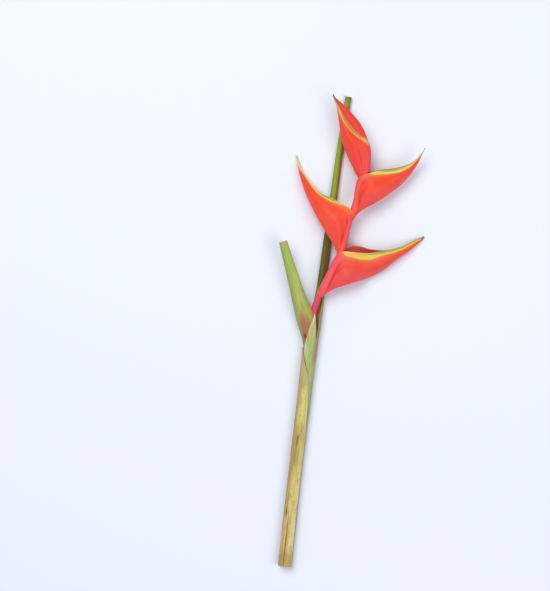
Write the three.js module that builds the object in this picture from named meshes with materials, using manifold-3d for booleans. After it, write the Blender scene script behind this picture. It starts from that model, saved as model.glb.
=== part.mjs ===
// Lobster claw heliconia: one cut flower, lying on a flat surface.
// Millimetres, +Z up. The stem runs along +Y towards the flower, and z = 0 is the surface it lies on.
// All places below are given from the cut end of the stem (x = 0 on its middle, y = 0 at the cut);
// the whole group is then moved so that the origin is the middle of the footprint.
import * as THREE from "three";
import { mergeVertices } from "three/addons/utils/BufferGeometryUtils.js";
import Module from "manifold-3d";

const wasm = await Module();
wasm.setup();

// ---- driving dimensions -------------------------------------------------------------------------

const originFromCutEnd = [45.5, 357]; // x, y of the footprint's middle
const gap = 0.3; // clear space between pieces that touch

// Rows along a stem or stalk: x, y, z of its middle, half width, half depth.
const flowerStalkRows = [
  [0, 0, 9.8, 4.0, 4.0],
  [0, 170, 9.6, 4.0, 4.0],
  [0, 340, 9.9, 4.1, 4.1],
  [0, 368, 10.5, 4.4, 4.4],
  [0.4, 385, 12.4, 4.7, 4.6],
  [3, 402, 18.4, 4.8, 4.8],
  [8.6, 418, 23.8, 4.6, 4.6],
  [14, 431, 26.4, 4.5, 4.5],
  [19.4, 446, 28, 4.4, 4.4],
  [24.2, 461, 29, 4.3, 4.3],
  [28.6, 475, 29.6, 4.3, 4.3],
  [31.2, 488, 29.9, 4.2, 4.2],
  [33.4, 502, 30.1, 4.2, 4.2],
  [35.6, 516, 30.4, 4.1, 4.1],
  [38.6, 528, 30.6, 4.1, 4.1],
  [42.4, 540, 30.8, 4.0, 4.0],
  [45.6, 553, 31, 4.0, 4.0],
  [47.8, 568, 31, 3.9, 3.9],
  [49.6, 584, 31, 3.8, 3.8],
  [51.4, 597, 31, 3.6, 3.6],
  [52.6, 604.5, 31, 3.1, 3.1],
];
const longLeafRows = [
  [0, 0, 9.7, 10.5, 9.9],
  [-0.3, 115, 9.4, 10.1, 9.6],
  [0, 190, 9.4, 10.2, 9.6],
  [0.6, 265, 9.6, 10.5, 9.8],
  [0.8, 305, 9.8, 10.8, 10.0],
  [1.4, 340, 9.9, 10.9, 10.2],
  [3.2, 366, 9.6, 10.1, 9.9],
  [4.8, 385, 8.7, 9.0, 9.1],
  [6.2, 402, 7.5, 7.8, 7.6],
  [7.3, 430, 6.6, 6.7, 6.7],
  [9.0, 495, 5.9, 6.2, 6.0],
  [11.2, 578, 5.3, 5.6, 5.4],
  [12.9, 646, 5.0, 5.2, 5.1],
  [16.3, 713, 4.7, 4.9, 4.8],
];
const shortLeafRows = [
  [0, 0, 9.8, 6.2, 6.2],
  [0, 170, 9.6, 6.2, 6.2],
  [0, 308, 9.9, 6.3, 6.3],
  [-0.8, 326, 10.2, 7.4, 6.2],
  [-3.4, 346, 10.8, 9.9, 6.0],
  [-8.4, 366, 12.4, 13.2, 5.6],
  [-14.5, 381, 14.8, 13.2, 5.6],
  [-22.2, 398, 18.2, 11.4, 5.6],
  [-37.2, 434.6, 25, 8.7, 5.2],
  [-47.3, 459.6, 28.8, 7.0, 4.8],
  [-57.3, 484.7, 32, 5.5, 4.4],
];

// The oldest leaf's sheath is a shell round the left and the back of the stem. Its free edge winds
// slowly round, from edgeAngle at the cut end by edgeTurn degrees to its upper end.
const oldSheath = { top: 305, thickness: 1.3, edgeAngle: 42, edgeTurn: 54, backAngle: 296 };

// The long leaf's sheath opens towards the flower. Its edge, seen from above, rises from the left of
// the stem to a pointed flap, dips into a notch, and runs up the stalk.
const sheathMouth = [
  [-40, 331], [-9.8, 336], [-7.8, 344], [-3.8, 361], [-0.6, 372], [1.6, 383], [4, 377],
  [6.2, 362], [8.4, 346], [8.9, 362], [9.2, 384], [10, 402], [12, 425], [14, 450], [-40, 450],
];
const sheathMouthFloor = { z: 9.5, risePerMm: 0.075 };
// Inside that opening the stalk is hollow for a short way.
const channelRows = [
  [1.5, 340, 10.5, 4.6, 5],
  [5.2, 362, 11.5, 4.6, 5.4],
  [6.9, 384, 12.2, 4.2, 5.2],
  [7.9, 402, 12.9, 3.0, 3.8],
  [8.4, 424, 13.6, 1.4, 2.0],
];

// Each bract is a folded, boat-shaped leaf whose base wraps the stalk. keel is its folded back and
// rim the line of its two edges, seen from above, in pairs from the base to the tip. The edges meet
// round the stalk as far as the heel (a share of the length), and beyond it they stand apart.
// rootZ, heelZ and tipZ are heights along the rim. roll turns the mouth upwards, and farRise is how
// much further the lower edge reaches than the upper one. mouth is the spacing of the edges as a
// share of the width, and crease the depth of the fold beside the stalk.
const bractWall = 1.3;
const bracts = [
  {
    name: "bract_1",
    keel: [[10.9, 407.4], [15.8, 413.8], [22, 419.6], [31, 424.6], [42, 429.6], [54, 434.8], [70, 441.8],
      [86, 450.4], [101, 462.2], [117, 478], [131, 490.4], [143, 502.4], [153, 513.4]],
    rim: [[-0.6, 411.8], [4.1, 423], [9.6, 437.4], [15.4, 453], [21.2, 469], [29.6, 479.4], [44, 484.6],
      [62, 483.6], [81, 481.6], [101, 486.4], [120, 496.4], [138.4, 508.6], [153.8, 517]],
    rootZ: 21.4, heelZ: 29.4, tipZ: 1.9, droop: 1.35, roll: 22,
    sheath: 5.8, halfWidth: 14.5, heel: 0.35, mouth: 0.72, crease: 2.2, farRise: 3.6,
  },
  {
    name: "bract_2",
    keel: [[23.2, 475.6], [21.4, 481.6], [17.4, 488.4], [11.8, 495.8], [5, 504.4], [-1.7, 512.6],
      [-9.5, 523.4], [-17, 535], [-25.5, 548.5], [-34.2, 564.5], [-41.6, 582], [-47.4, 599], [-52.4, 614.6]],
    rim: [[34.2, 471], [37, 485.6], [39.2, 500.4], [41, 514.6], [42.4, 527], [41.6, 538.2],
      [35.5, 545.6], [24, 550.8], [9, 557.2], [-8, 563.4], [-25, 577.6], [-40.4, 595.2], [-51.2, 617.4]],
    rootZ: 29.5, heelZ: 30.7, tipZ: 1.5, droop: 1.8, roll: 4,
    sheath: 6.0, halfWidth: 13.2, heel: 0.37, mouth: 0.58, crease: 1.2, farRise: 0,
  },
  {
    name: "bract_3",
    keel: [[44.8, 529.2], [50, 539], [56.6, 545.8], [64.5, 551.2], [73, 556.8], [82, 563.7], [92, 572.4],
      [101.5, 581.3], [110.2, 590.4], [118.8, 601.8], [126.6, 616], [133, 632.2], [138.2, 646.6]],
    rim: [[34, 533.2], [37.4, 545], [39.8, 558], [41.8, 571], [43.6, 584], [46.8, 593.4], [55, 599.4],
      [66, 604], [80, 607.4], [95.5, 611.2], [112, 617.6], [126.6, 628.6], [139.6, 648.8]],
    rootZ: 30.6, heelZ: 31, tipZ: 21, droop: 1.5, roll: 8,
    sheath: 5.8, halfWidth: 13, heel: 0.37, mouth: 0.58, crease: 2, farRise: 0.6,
  },
  {
    name: "bract_4",
    keel: [[45, 591.4], [39.6, 597.4], [34.5, 604.6], [29.8, 611.8], [25, 619.6], [20.6, 627.3],
      [16.6, 634.9], [12.8, 643.8], [9.9, 653], [7, 664.5], [3.5, 679], [-1.2, 695], [-8.7, 711]],
    rim: [[56.6, 590.4], [59.3, 601], [59.7, 611], [59.4, 622], [58.6, 632.6], [55.4, 641.8],
      [48.6, 648.8], [40.6, 653.6], [31.6, 659.6], [22.4, 668.4], [12.6, 681], [3, 696], [-7.2, 712.6]],
    rootZ: 31, heelZ: 31, tipZ: 30, droop: 1.4, roll: -7,
    sheath: 7.4, halfWidth: 12.4, heel: 0.37, mouth: 0.62, crease: 0, farRise: -1,
  },
  {
    name: "bract_5",
    keel: [[56.6, 605.6], [57, 614], [56.8, 624], [56, 634], [53.4, 645], [49, 655], [43.3, 665.2],
      [33.3, 677.5], [20, 689.8], [6.6, 700.2], [-5.8, 708.4]],
    rim: [[48.6, 606.6], [46.8, 616], [44.4, 625], [41, 634], [37, 641.6], [33, 649], [28, 656.6],
      [20.5, 668], [11.5, 681.4], [2.2, 695.2], [-4.8, 706.6]],
    rootZ: 31, heelZ: 31, tipZ: 33.4, droop: 1, roll: 0,
    sheath: 4.6, halfWidth: 6.8, heel: -1, mouth: 0.2, crease: 0, farRise: 0,
  },
];
const widestAt = 0.46; // where along its length a bract is widest
const tipHalfWidth = 1.4;

// A bunch of young flowers stands low in each open bract, beside the stalk.
const flowerBunches = [
  { name: "flowers_1", bract: 0, count: 6, reach: 0.8 },
  { name: "flowers_2", bract: 1, count: 5, reach: 0.76 },
  { name: "flowers_3", bract: 2, count: 5, reach: 0.76 },
];
const flowerHalfWidth = 2.5;

const colours = {
  oldSheath: 0xb8b162,
  longLeaf: 0x9aa652,
  shortLeaf: 0x93b85a,
  stalk: 0xdc4a62,
  bract: 0xee4630,
  flower: 0xd9dfa2,
};

// ---- solids -------------------------------------------------------------------------------------

function toSolid(geometry) {
  const bare = geometry.clone();
  for (const name of Object.keys(bare.attributes)) {
    if (name !== "position") bare.deleteAttribute(name);
  }
  const merged = mergeVertices(bare, 1e-4);
  const mesh = new wasm.Mesh({
    numProp: 3,
    vertProperties: new Float32Array(merged.attributes.position.array),
    triVerts: new Uint32Array(merged.index.array),
  });
  return new wasm.Manifold(mesh);
}

function toGeometry(solid) {
  const mesh = solid.getMesh();
  const geometry = new THREE.BufferGeometry();
  geometry.setAttribute("position", new THREE.BufferAttribute(new Float32Array(mesh.vertProperties), 3));
  geometry.setIndex(new THREE.BufferAttribute(new Uint32Array(mesh.triVerts), 1));
  geometry.computeVertexNormals();
  return geometry;
}

// The largest body of a cut solid: a loose scrap is dropped.
function mainBody(solid) {
  const bodies = solid.decompose();
  return bodies.reduce((best, body) => (body.volume() > best.volume() ? body : best));
}

// Joins rings with the same number of points, and closes both ends with the given end triangles.
function skin(rings, endTriangles) {
  const count = rings[0].length;
  const index = [];
  for (let r = 0; r + 1 < rings.length; r++) {
    for (let i = 0; i < count; i++) {
      const a = r * count + i;
      const b = r * count + ((i + 1) % count);
      index.push(a, b, b + count, a, b + count, a + count);
    }
  }
  const last = (rings.length - 1) * count;
  for (const [a, b, c] of endTriangles) {
    index.push(c, b, a, last + a, last + b, last + c);
  }
  const geometry = new THREE.BufferGeometry();
  const points = rings.flat().flatMap((p) => [p.x, p.y, p.z]);
  geometry.setAttribute("position", new THREE.Float32BufferAttribute(points, 3));
  geometry.setIndex(index);
  return geometry;
}

function facingOut(geometry) {
  const solid = toSolid(geometry);
  if (solid.volume() > 0) return solid;
  const index = geometry.index.array;
  for (let i = 0; i < index.length; i += 3) {
    [index[i + 1], index[i + 2]] = [index[i + 2], index[i + 1]];
  }
  return toSolid(geometry);
}

const fanTriangles = (count) =>
  Array.from({ length: count - 2 }, (_, i) => [0, i + 1, i + 2]);

// A smooth curve through rows of numbers, read at a share t of its rows. Each row's slope allows for
// how far apart the rows round it are, so that the curve never doubles back.
function readRows(rows, t) {
  const at = Math.min(Math.max(t, 0), 1) * (rows.length - 1);
  const i = Math.min(Math.floor(at), rows.length - 2);
  const f = at - i;
  const row = (k) => rows[Math.min(Math.max(k, 0), rows.length - 1)];
  const [r0, r1, r2, r3] = [row(i - 1), row(i), row(i + 1), row(i + 2)];
  const apart = (a, b) => Math.hypot(b[0] - a[0], b[1] - a[1]);
  const here = apart(r1, r2);
  const slopeIn = here / (apart(r0, r1) + here);
  const slopeOut = here / (here + apart(r2, r3));
  return r1.map((_, n) => {
    const m1 = (r2[n] - r0[n]) * slopeIn;
    const m2 = (r3[n] - r1[n]) * slopeOut;
    const rise = r2[n] - r1[n];
    return r1[n] + f * (m1 + f * (3 * rise - 2 * m1 - m2 + f * (m1 + m2 - 2 * rise)));
  });
}

// An oval stem through rows of x, y, z, half width and half depth. radiusAt shapes its section.
function stem(rows, { sides, stepsPerRow, grow = 0, past = 0, radiusAt = () => 1 }) {
  const steps = Math.round((rows.length - 1) * stepsPerRow);
  const rings = [];
  for (let s = 0; s <= steps; s++) {
    const t = s / steps;
    const [x, y, z, halfWidth, halfDepth] = readRows(rows, t);
    const ahead = readRows(rows, t + 0.002);
    const behind = readRows(rows, t - 0.002);
    const along = new THREE.Vector3(ahead[0] - behind[0], ahead[1] - behind[1], ahead[2] - behind[2]).normalize();
    const side = new THREE.Vector3().crossVectors(along, new THREE.Vector3(0, 0, 1)).normalize();
    const up = new THREE.Vector3().crossVectors(side, along);
    const middle = new THREE.Vector3(x, y, z);
    if (s === 0) middle.addScaledVector(along, -past);
    if (s === steps) middle.addScaledVector(along, past);
    rings.push(
      Array.from({ length: sides }, (_, i) => {
        const angle = (2 * Math.PI * i) / sides;
        const r = radiusAt(angle, y);
        return middle
          .clone()
          .addScaledVector(side, Math.cos(angle) * (halfWidth * r + grow))
          .addScaledVector(up, Math.sin(angle) * (halfDepth * r + grow));
      }),
    );
  }
  return facingOut(skin(rings, fanTriangles(sides)));
}

const smooth = (from, to, x) => THREE.MathUtils.smoothstep(x, from, to);

// ---- bracts -------------------------------------------------------------------------------------

function bractHalfWidth(bract, u) {
  const root = Math.min(bract.sheath, bract.halfWidth);
  if (u < widestAt) return root + (bract.halfWidth - root) * smooth(0.02, widestAt, u);
  const past = (u - widestAt) / (1 - widestAt);
  return tipHalfWidth + (bract.halfWidth - tipHalfWidth) * (1 - past ** 1.6);
}

// The frame of a bract's section at u: its keel point, the way to its rim, the way across, its size.
function bractFrame(bract, u) {
  const [kx, ky] = readRows(bract.keel, u);
  const [rx, ry] = readRows(bract.rim, u);
  const heel = Math.max(bract.heel, 0.05);
  const rise = Math.min(u / heel, 1) ** 0.75;
  const fall = Math.max((u - heel) / (1 - heel), 0) ** bract.droop;
  const rimZ = bract.rootZ + (bract.heelZ - bract.rootZ) * rise + (bract.tipZ - bract.heelZ) * fall;
  const turned = smooth(heel + 0.02, heel + 0.26, u) * (1 - smooth(0.84, 1, u));
  const roll = THREE.MathUtils.degToRad(bract.roll) * turned;
  const rim = new THREE.Vector3(rx, ry, rimZ);
  const keel = new THREE.Vector3(kx, ky, rimZ - Math.hypot(rx - kx, ry - ky) * Math.tan(roll));
  const up = rim.clone().sub(keel);
  const depth = up.length();
  up.normalize();
  const across = new THREE.Vector3(0, 0, 1);
  across.addScaledVector(up, -up.z).normalize();
  return { keel, up, across, depth, halfWidth: Math.min(bractHalfWidth(bract, u), 0.55 * depth + 0.4) };
}

// Half the width of a section, at a distance from its keel. Below the heel the edges close round
// the stalk, with a crease beside it; above the heel they stand apart by the mouth's share.
function sideAt(bract, u, distance, depth, halfWidth) {
  const widest = 0.46 * depth;
  const rise = Math.sin((Math.PI / 2) * Math.min(distance / widest, 1)) ** 0.85;
  const beyond = Math.max((distance - widest) / (depth - widest), 0);
  const mouth = bract.mouth * (1 - smooth(0.7, 1, u)) + 0.15 * smooth(0.7, 1, u);
  const open = halfWidth * rise * (1 - (1 - mouth) * beyond ** 1.7);
  const opened = smooth(bract.heel - 0.03, bract.heel + 0.13, u);
  const sheath = Math.min(bract.sheath * (1 + 0.32 * smooth(bract.heel - 0.12, bract.heel + 0.05, u)), depth / 2);
  const fromRim = depth - distance;
  if (opened >= 1) return open;
  const drop = smooth(widest, Math.max(depth - 2 * sheath, widest + 0.1), distance);
  let closed = rise * (halfWidth + (sheath - halfWidth) * drop);
  const creaseShare = smooth(2.6 * sheath, 4.2 * sheath, depth);
  closed -= bract.crease * creaseShare * Math.exp(-(((fromRim - 2 * sheath) / 2.6) ** 2));
  if (fromRim < sheath) closed = Math.min(closed, Math.sqrt(Math.max(fromRim * (2 * sheath - fromRim), 0)));
  return closed + (open - closed) * opened;
}

const fromKeelShares = [0.05, 0.17, 0.36, 0.6, 0.83];
const fromRimDistances = [9.5, 6, 3.2, 1.1, 0];
const slit = 0.2; // half the space left between the two edges where they meet

// One side of a section, from the keel to the rim, as pairs of distance and half width: the
// outer face, and the inner face a wall's thickness inside it.
function sideFaces(bract, u, depth, halfWidth, grow) {
  const wall = Math.min(bractWall, 0.45 * halfWidth, 0.3 * depth);
  const reach = Math.min(1, depth / 26);
  const last = depth - fromRimDistances[0] * reach;
  const distances = [0, ...fromKeelShares.map((f) => f * last), ...fromRimDistances.map((e) => depth - e * reach)];
  const outline = distances.map((d) => [
    d,
    d === 0 ? 0 : Math.max(sideAt(bract, u, d, depth, halfWidth), slit),
  ]);
  const opened = smooth(bract.heel - 0.03, bract.heel + 0.13, u);
  const inward = outline.map(([d, h], i) => {
    if (i === 0) return [1.35, 0];
    if (i === outline.length - 1) return [opened - 1, -opened];
    const [d0, h0] = outline[i - 1];
    const [d1, h1] = outline[i + 1];
    const length = Math.hypot(d1 - d0, h1 - h0);
    return [(h1 - h0) / length, (d0 - d1) / length];
  });
  const shift = (by) =>
    outline.map(([d, h], i) => [
      d + by * inward[i][0],
      i === 0 ? 0 : Math.max(h + by * inward[i][1], Math.min(slit, h)),
    ]);
  return { outer: shift(-grow), inner: shift(wall + grow) };
}

function bractSolid(bract, grow = 0) {
  const steps = Math.round((bract.keel.length - 1) * 1.5);
  const rings = [];
  for (let s = 0; s <= steps; s++) {
    const u = s / steps;
    const { keel, up, across, depth, halfWidth } = bractFrame(bract, u);
    const { outer, inner } = sideFaces(bract, u, depth, halfWidth, grow);
    const uneven = (bract.farRise / depth) * smooth(bract.heel, bract.heel + 0.15, u) * (1 - smooth(0.75, 1, u));
    const place = ([d, h], hand) =>
      keel
        .clone()
        .addScaledVector(up, d * (1 - hand * uneven))
        .addScaledVector(across, hand * h);
    const bothSides = (face) => [
      ...face.slice(1).toReversed().map((p) => place(p, 1)),
      place(face[0], 1),
      ...face.slice(1).map((p) => place(p, -1)),
    ];
    rings.push([...bothSides(outer), ...bothSides(inner).toReversed()]);
  }
  const count = rings[0].length / 2;
  const ends = [];
  for (let i = 0; i + 1 < count; i++) {
    const [a, b, c, d] = [i, i + 1, 2 * count - 2 - i, 2 * count - 1 - i];
    ends.push([a, b, c], [a, c, d]);
  }
  return facingOut(skin(rings, ends));
}

// ---- flowers in a bract -------------------------------------------------------------------------

// A point inside a bract: u along it, t from the keel to the rim, hand to one side.
function insideBract(bract, u, t, hand) {
  const { keel, up, across, depth } = bractFrame(bract, u);
  return keel.addScaledVector(up, t * depth).addScaledVector(across, hand);
}

// Slim buds fan out from one root beside the stalk, in two rows, the nearest to it the tallest.
function flowerBunch({ bract: n, count, reach }) {
  const bract = bracts[n];
  const buds = Array.from({ length: count }, (_, i) => {
    const share = i / (count - 1);
    const hand = i % 2 ? 1 : -1;
    const root = insideBract(bract, 0.36 + 0.03 * share, 0.42 - 0.05 * share, 0.9 * hand);
    const tip = insideBract(bract, 0.47 + 0.19 * share, reach - 0.16 * share, (2.2 + 1.2 * share) * hand);
    const shape = [[0, 0.6], [0.2, 0.85], [0.6, 1], [0.85, 0.7], [1, 0.2]];
    const rows = shape.map(([at, size]) => {
      const p = root.clone().lerp(tip, at);
      return [p.x, p.y, p.z, flowerHalfWidth * size, flowerHalfWidth * size];
    });
    return stem(rows, { sides: 7, stepsPerRow: 1 });
  });
  return buds.reduce((bunch, bud) => bunch.add(bud));
}

// ---- the leaves and the stalk -------------------------------------------------------------------

const stalkShape = { sides: 12, stepsPerRow: 1.5 };
const flowerStalk = stem(flowerStalkRows, stalkShape);
const stalkRoom = stem(flowerStalkRows, { ...stalkShape, grow: gap, past: 2 });

const shortLeafShape = { sides: 18, stepsPerRow: 1.5 };
const shortLeafRoom = stem(shortLeafRows, { ...shortLeafShape, grow: gap, past: 2 });

const longLeafShape = { sides: 24, stepsPerRow: 1.5 };

// The wedge round the stem's axis that the oldest sheath fills, from its free edge round the left.
function oldSheathWedge(grow) {
  const rings = [];
  for (let i = 0; i <= 8; i++) {
    const along = i / 8;
    const y = along * oldSheath.top;
    const t = (y / 305) * (4 / (longLeafRows.length - 1));
    const [x, , z] = readRows(longLeafRows, t);
    const from = oldSheath.edgeAngle + oldSheath.edgeTurn * along ** 1.4 - grow * 2;
    const to = oldSheath.backAngle + grow * 2;
    const endY = i === 0 ? -1 : i === 8 ? y + grow : y;
    const arc = Array.from({ length: 17 }, (_, k) => {
      const angle = THREE.MathUtils.degToRad(from + ((to - from) * k) / 16);
      const lift = i === 8 ? 3 * Math.cos(angle - Math.PI) : 0;
      return new THREE.Vector3(x + 18 * Math.cos(angle), endY + lift, z + 18 * Math.sin(angle));
    });
    rings.push([new THREE.Vector3(x, endY, z), ...arc]);
  }
  return facingOut(skin(rings, fanTriangles(18)));
}

const stemBody = stem(longLeafRows, longLeafShape);
const underOldSheath = (depth) => stem(longLeafRows, { ...longLeafShape, grow: -depth, past: 3 });
const oldSheathSolid = stemBody.intersect(oldSheathWedge(0)).subtract(underOldSheath(oldSheath.thickness));
const oldSheathRoom = oldSheathWedge(gap).subtract(underOldSheath(oldSheath.thickness + gap));

const shortLeaf = stem(shortLeafRows, shortLeafShape).subtract(stalkRoom);

function sheathMouthCutter() {
  const outline = new THREE.Shape(sheathMouth.map(([x, y]) => new THREE.Vector2(x, y)));
  const block = new THREE.ExtrudeGeometry(outline, { depth: 60, bevelEnabled: false });
  const lean = new THREE.Matrix4().makeShear(0, 0, 0, sheathMouthFloor.risePerMm, 0, 0);
  block.applyMatrix4(lean);
  block.translate(0, 0, sheathMouthFloor.z - sheathMouthFloor.risePerMm * sheathMouth[1][1]);
  return toSolid(block);
}

const longLeaf = stemBody
  .subtract(shortLeafRoom)
  .subtract(stalkRoom)
  .subtract(oldSheathRoom)
  .subtract(stem(channelRows, { sides: 10, stepsPerRow: 1 }))
  .subtract(sheathMouthCutter());

// ---- the whole flower ---------------------------------------------------------------------------

const table = toSolid(new THREE.BoxGeometry(600, 1600, 100).translate(0, 300, -50));

const heliconia = new THREE.Group();
heliconia.position.set(-originFromCutEnd[0], -originFromCutEnd[1], 0);

function addPiece(name, solid, colour, roughness) {
  const resting = mainBody(solid.subtract(table).simplify(0.02));
  const material = new THREE.MeshStandardMaterial({ color: colour, roughness, metalness: 0 });
  const mesh = new THREE.Mesh(toGeometry(resting), material);
  mesh.name = name;
  heliconia.add(mesh);
}

addPiece("old_sheath", oldSheathSolid, colours.oldSheath, 0.55);
addPiece("long_leaf", longLeaf, colours.longLeaf, 0.5);
addPiece("short_leaf", shortLeaf, colours.shortLeaf, 0.5);
addPiece("flower_stalk", flowerStalk, colours.stalk, 0.45);
const bractRooms = [];
for (const bract of bracts) {
  let solid = bractSolid(bract).subtract(stalkRoom);
  for (const room of bractRooms) solid = solid.subtract(room);
  addPiece(bract.name, solid, colours.bract, 0.4);
  bractRooms.push(bractSolid(bract, gap).add(bractSolid(bract)));
}
for (const bunch of flowerBunches) {
  let solid = flowerBunch(bunch).subtract(stalkRoom);
  for (const room of bractRooms) solid = solid.subtract(room);
  addPiece(bunch.name, solid, colours.flower, 0.55);
}

export default heliconia;
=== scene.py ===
import math

import bmesh
import bpy
import numpy as np
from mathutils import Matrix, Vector, noise


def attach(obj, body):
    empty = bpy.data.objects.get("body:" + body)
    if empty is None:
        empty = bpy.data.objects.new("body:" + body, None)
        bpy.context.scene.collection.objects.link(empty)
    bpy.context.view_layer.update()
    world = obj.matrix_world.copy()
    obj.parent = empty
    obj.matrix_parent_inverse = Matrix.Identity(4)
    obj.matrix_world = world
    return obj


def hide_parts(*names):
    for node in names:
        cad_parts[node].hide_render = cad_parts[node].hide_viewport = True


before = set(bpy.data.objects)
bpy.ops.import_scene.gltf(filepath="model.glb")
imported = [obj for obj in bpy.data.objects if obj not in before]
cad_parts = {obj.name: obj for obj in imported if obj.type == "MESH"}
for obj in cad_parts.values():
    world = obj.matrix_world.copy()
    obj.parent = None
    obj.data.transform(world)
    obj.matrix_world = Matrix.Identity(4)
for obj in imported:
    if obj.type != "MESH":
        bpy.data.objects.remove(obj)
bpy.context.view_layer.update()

# Lengths in the dictionaries are millimetres from the cut end of the stem, +Y towards the flower
# and +Z up from the surface that it lies on.

cutEnd = {"x": -45.5, "y": -357.0}  # where the cut end's middle lies in the frame
gap = 0.3  # between pieces that touch
aboveSurface = 0.04  # how low a stem may come
farAway = 99.0  # the distance kept where no margin is near


def place(x, y, z):
    return Vector(((x + cutEnd["x"]) / 1000, (y + cutEnd["y"]) / 1000, z / 1000))


# the camera looks straight down on the stem from high above

cameraSetup = {
    "aimX": -60.5,
    "aimY": 403.0,
    "height": 3000.0,
    "tallView": 886.5,  # what the long side of the view takes in, at the flower's height
    "flowerHeight": 22.0,
    "turn": 6.43,
    "sensor": 36.0,
}


def addCamera():
    data = bpy.data.cameras.new("camera")
    camera = bpy.data.objects.new("camera", data)
    bpy.context.scene.collection.objects.link(camera)
    camera.location = place(cameraSetup["aimX"], cameraSetup["aimY"], cameraSetup["height"])
    camera.rotation_euler = (0, 0, math.radians(cameraSetup["turn"]))
    distance = cameraSetup["height"] - cameraSetup["flowerHeight"]
    data.sensor_width = cameraSetup["sensor"]
    data.lens = cameraSetup["sensor"] * distance / cameraSetup["tallView"]
    bpy.context.scene.camera = camera


addCamera()
print("camera set")

# reading curves


def mix(a, b, share):
    return a + (b - a) * share


def smooth(low, high, value):
    share = min(max((value - low) / (high - low), 0), 1)
    return share * share * (3 - 2 * share)


def readRows(rows, share):
    # a smooth curve through the rows, with slopes that allow for how far apart they are
    at = min(max(share, 0), 1) * (len(rows) - 1)
    i = min(int(at), len(rows) - 2)
    f = at - i
    before, here, there, after = (rows[min(max(k, 0), len(rows) - 1)] for k in (i - 1, i, i + 1, i + 2))
    step = math.hypot(there[0] - here[0], there[1] - here[1])
    slopeIn = step / (math.hypot(here[0] - before[0], here[1] - before[1]) + step)
    slopeOut = step / (step + math.hypot(after[0] - there[0], after[1] - there[1]))
    found = []
    for b, h, t, a in zip(before, here, there, after):
        m1 = (t - b) * slopeIn
        m2 = (a - h) * slopeOut
        rise = t - h
        found.append(h + f * (m1 + f * (3 * rise - 2 * m1 - m2 + f * (m1 + m2 - 2 * rise))))
    return found


# helpers for modelling


def deselectAll():
    if bpy.context.object and bpy.context.object.mode != "OBJECT":
        bpy.ops.object.mode_set(mode="OBJECT")
    bpy.ops.object.select_all(action="DESELECT")


def pick(piece):
    deselectAll()
    piece.select_set(True)
    bpy.context.view_layer.objects.active = piece


def applyModifier(piece, kind, **settings):
    pick(piece)
    modifier = piece.modifiers.new(kind.title(), kind)
    for name, value in settings.items():
        setattr(modifier, name, value)
    bpy.ops.object.modifier_apply(modifier=modifier.name)


def cutAway(piece, cutter):
    applyModifier(piece, "BOOLEAN", operation="DIFFERENCE", solver="EXACT", object=cutter)
    bpy.data.objects.remove(cutter)


def grownFrom(vert):
    return next(edge.other_vert(vert) for edge in vert.link_edges if edge.other_vert(vert).select)


def growRings(name, rings):
    # a filled circle is extruded from ring to ring, and each new ring is shaped as it comes
    deselectAll()
    bpy.ops.mesh.primitive_circle_add(vertices=len(rings[0]), radius=0.01, fill_type="NGON")
    piece = bpy.context.object
    piece.name = piece.data.name = name
    bpy.ops.object.mode_set(mode="EDIT")
    bpy.ops.mesh.select_mode(type="FACE")
    bpy.ops.mesh.select_all(action="SELECT")
    ring = []
    for points in rings:
        if ring:
            bpy.ops.mesh.extrude_region_move(TRANSFORM_OT_translate={"value": (0, 0.001, 0)})
        shape = bmesh.from_edit_mesh(piece.data)
        shape.verts.ensure_lookup_table()
        shape.verts.index_update()
        ring = [grownFrom(shape.verts[index]).index for index in ring] or list(range(len(points)))
        for index, point in zip(ring, points):
            shape.verts[index].co = point
    bmesh.update_edit_mesh(piece.data)
    bpy.ops.mesh.select_all(action="SELECT")
    bpy.ops.mesh.normals_make_consistent(inside=False)
    bpy.ops.object.mode_set(mode="OBJECT")
    return piece


def sectionFrame(rows, share):
    # the middle of a stem's section, the way to its side, the way up, and its half width and depth
    x, y, z, halfWidth, halfDepth = readRows(rows, share)
    ahead = Vector(readRows(rows, share + 0.002)[:3])
    behind = Vector(readRows(rows, share - 0.002)[:3])
    along = (ahead - behind).normalized()
    side = along.cross(Vector((0, 0, 1))).normalized()
    return Vector((x, y, z)), along, side, side.cross(along), halfWidth, halfDepth


def stemRings(rows, sides, stepsPerRow, grow=0.0, past=0.0, reliefAt=None):
    steps = round((len(rows) - 1) * stepsPerRow)
    rings = []
    for s in range(steps + 1):
        middle, along, side, up, halfWidth, halfDepth = sectionFrame(rows, s / steps)
        middle = middle + along * (past * ((s == steps) - (s == 0)))
        ring = []
        for i in range(sides):
            angle = 2 * math.pi * i / sides
            relief = grow + (reliefAt(angle, middle.y) if reliefAt else 0)
            aside = side * (math.cos(angle) * (halfWidth + relief))
            point = middle + aside + up * (math.sin(angle) * (halfDepth + relief))
            point.z = max(point.z, aboveSurface)
            ring.append(place(*point))
        rings.append(ring)
    return rings


def growStem(name, stem, reliefAt=None):
    return growRings(name, stemRings(stem["rows"], stem["sides"], stem["stepsPerRow"], reliefAt=reliefAt))


def roomFor(stem, sides, stepsPerRow):
    # what is cut out of a piece for a stem that runs through it
    return growRings("room", stemRings(stem["rows"], sides, stepsPerRow, grow=gap, past=2))


def addValues(piece, name, values):
    # numbers kept at each point, for the materials to read
    kind, field = ("FLOAT_VECTOR", "vector") if values.ndim == 2 else ("FLOAT", "value")
    kept = piece.data.attributes.new(name, kind, "POINT")
    kept.data.foreach_set(field, values.astype(np.float32).ravel())


def readValues(items, field, size=3):
    values = np.zeros(len(items) * size, np.float32)
    items.foreach_get(field, values)
    return values.reshape(-1, size).astype(float)


def pointsOf(piece):
    return readValues(piece.data.vertices, "co") * 1000 - [cutEnd["x"], cutEnd["y"], 0]


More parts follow.
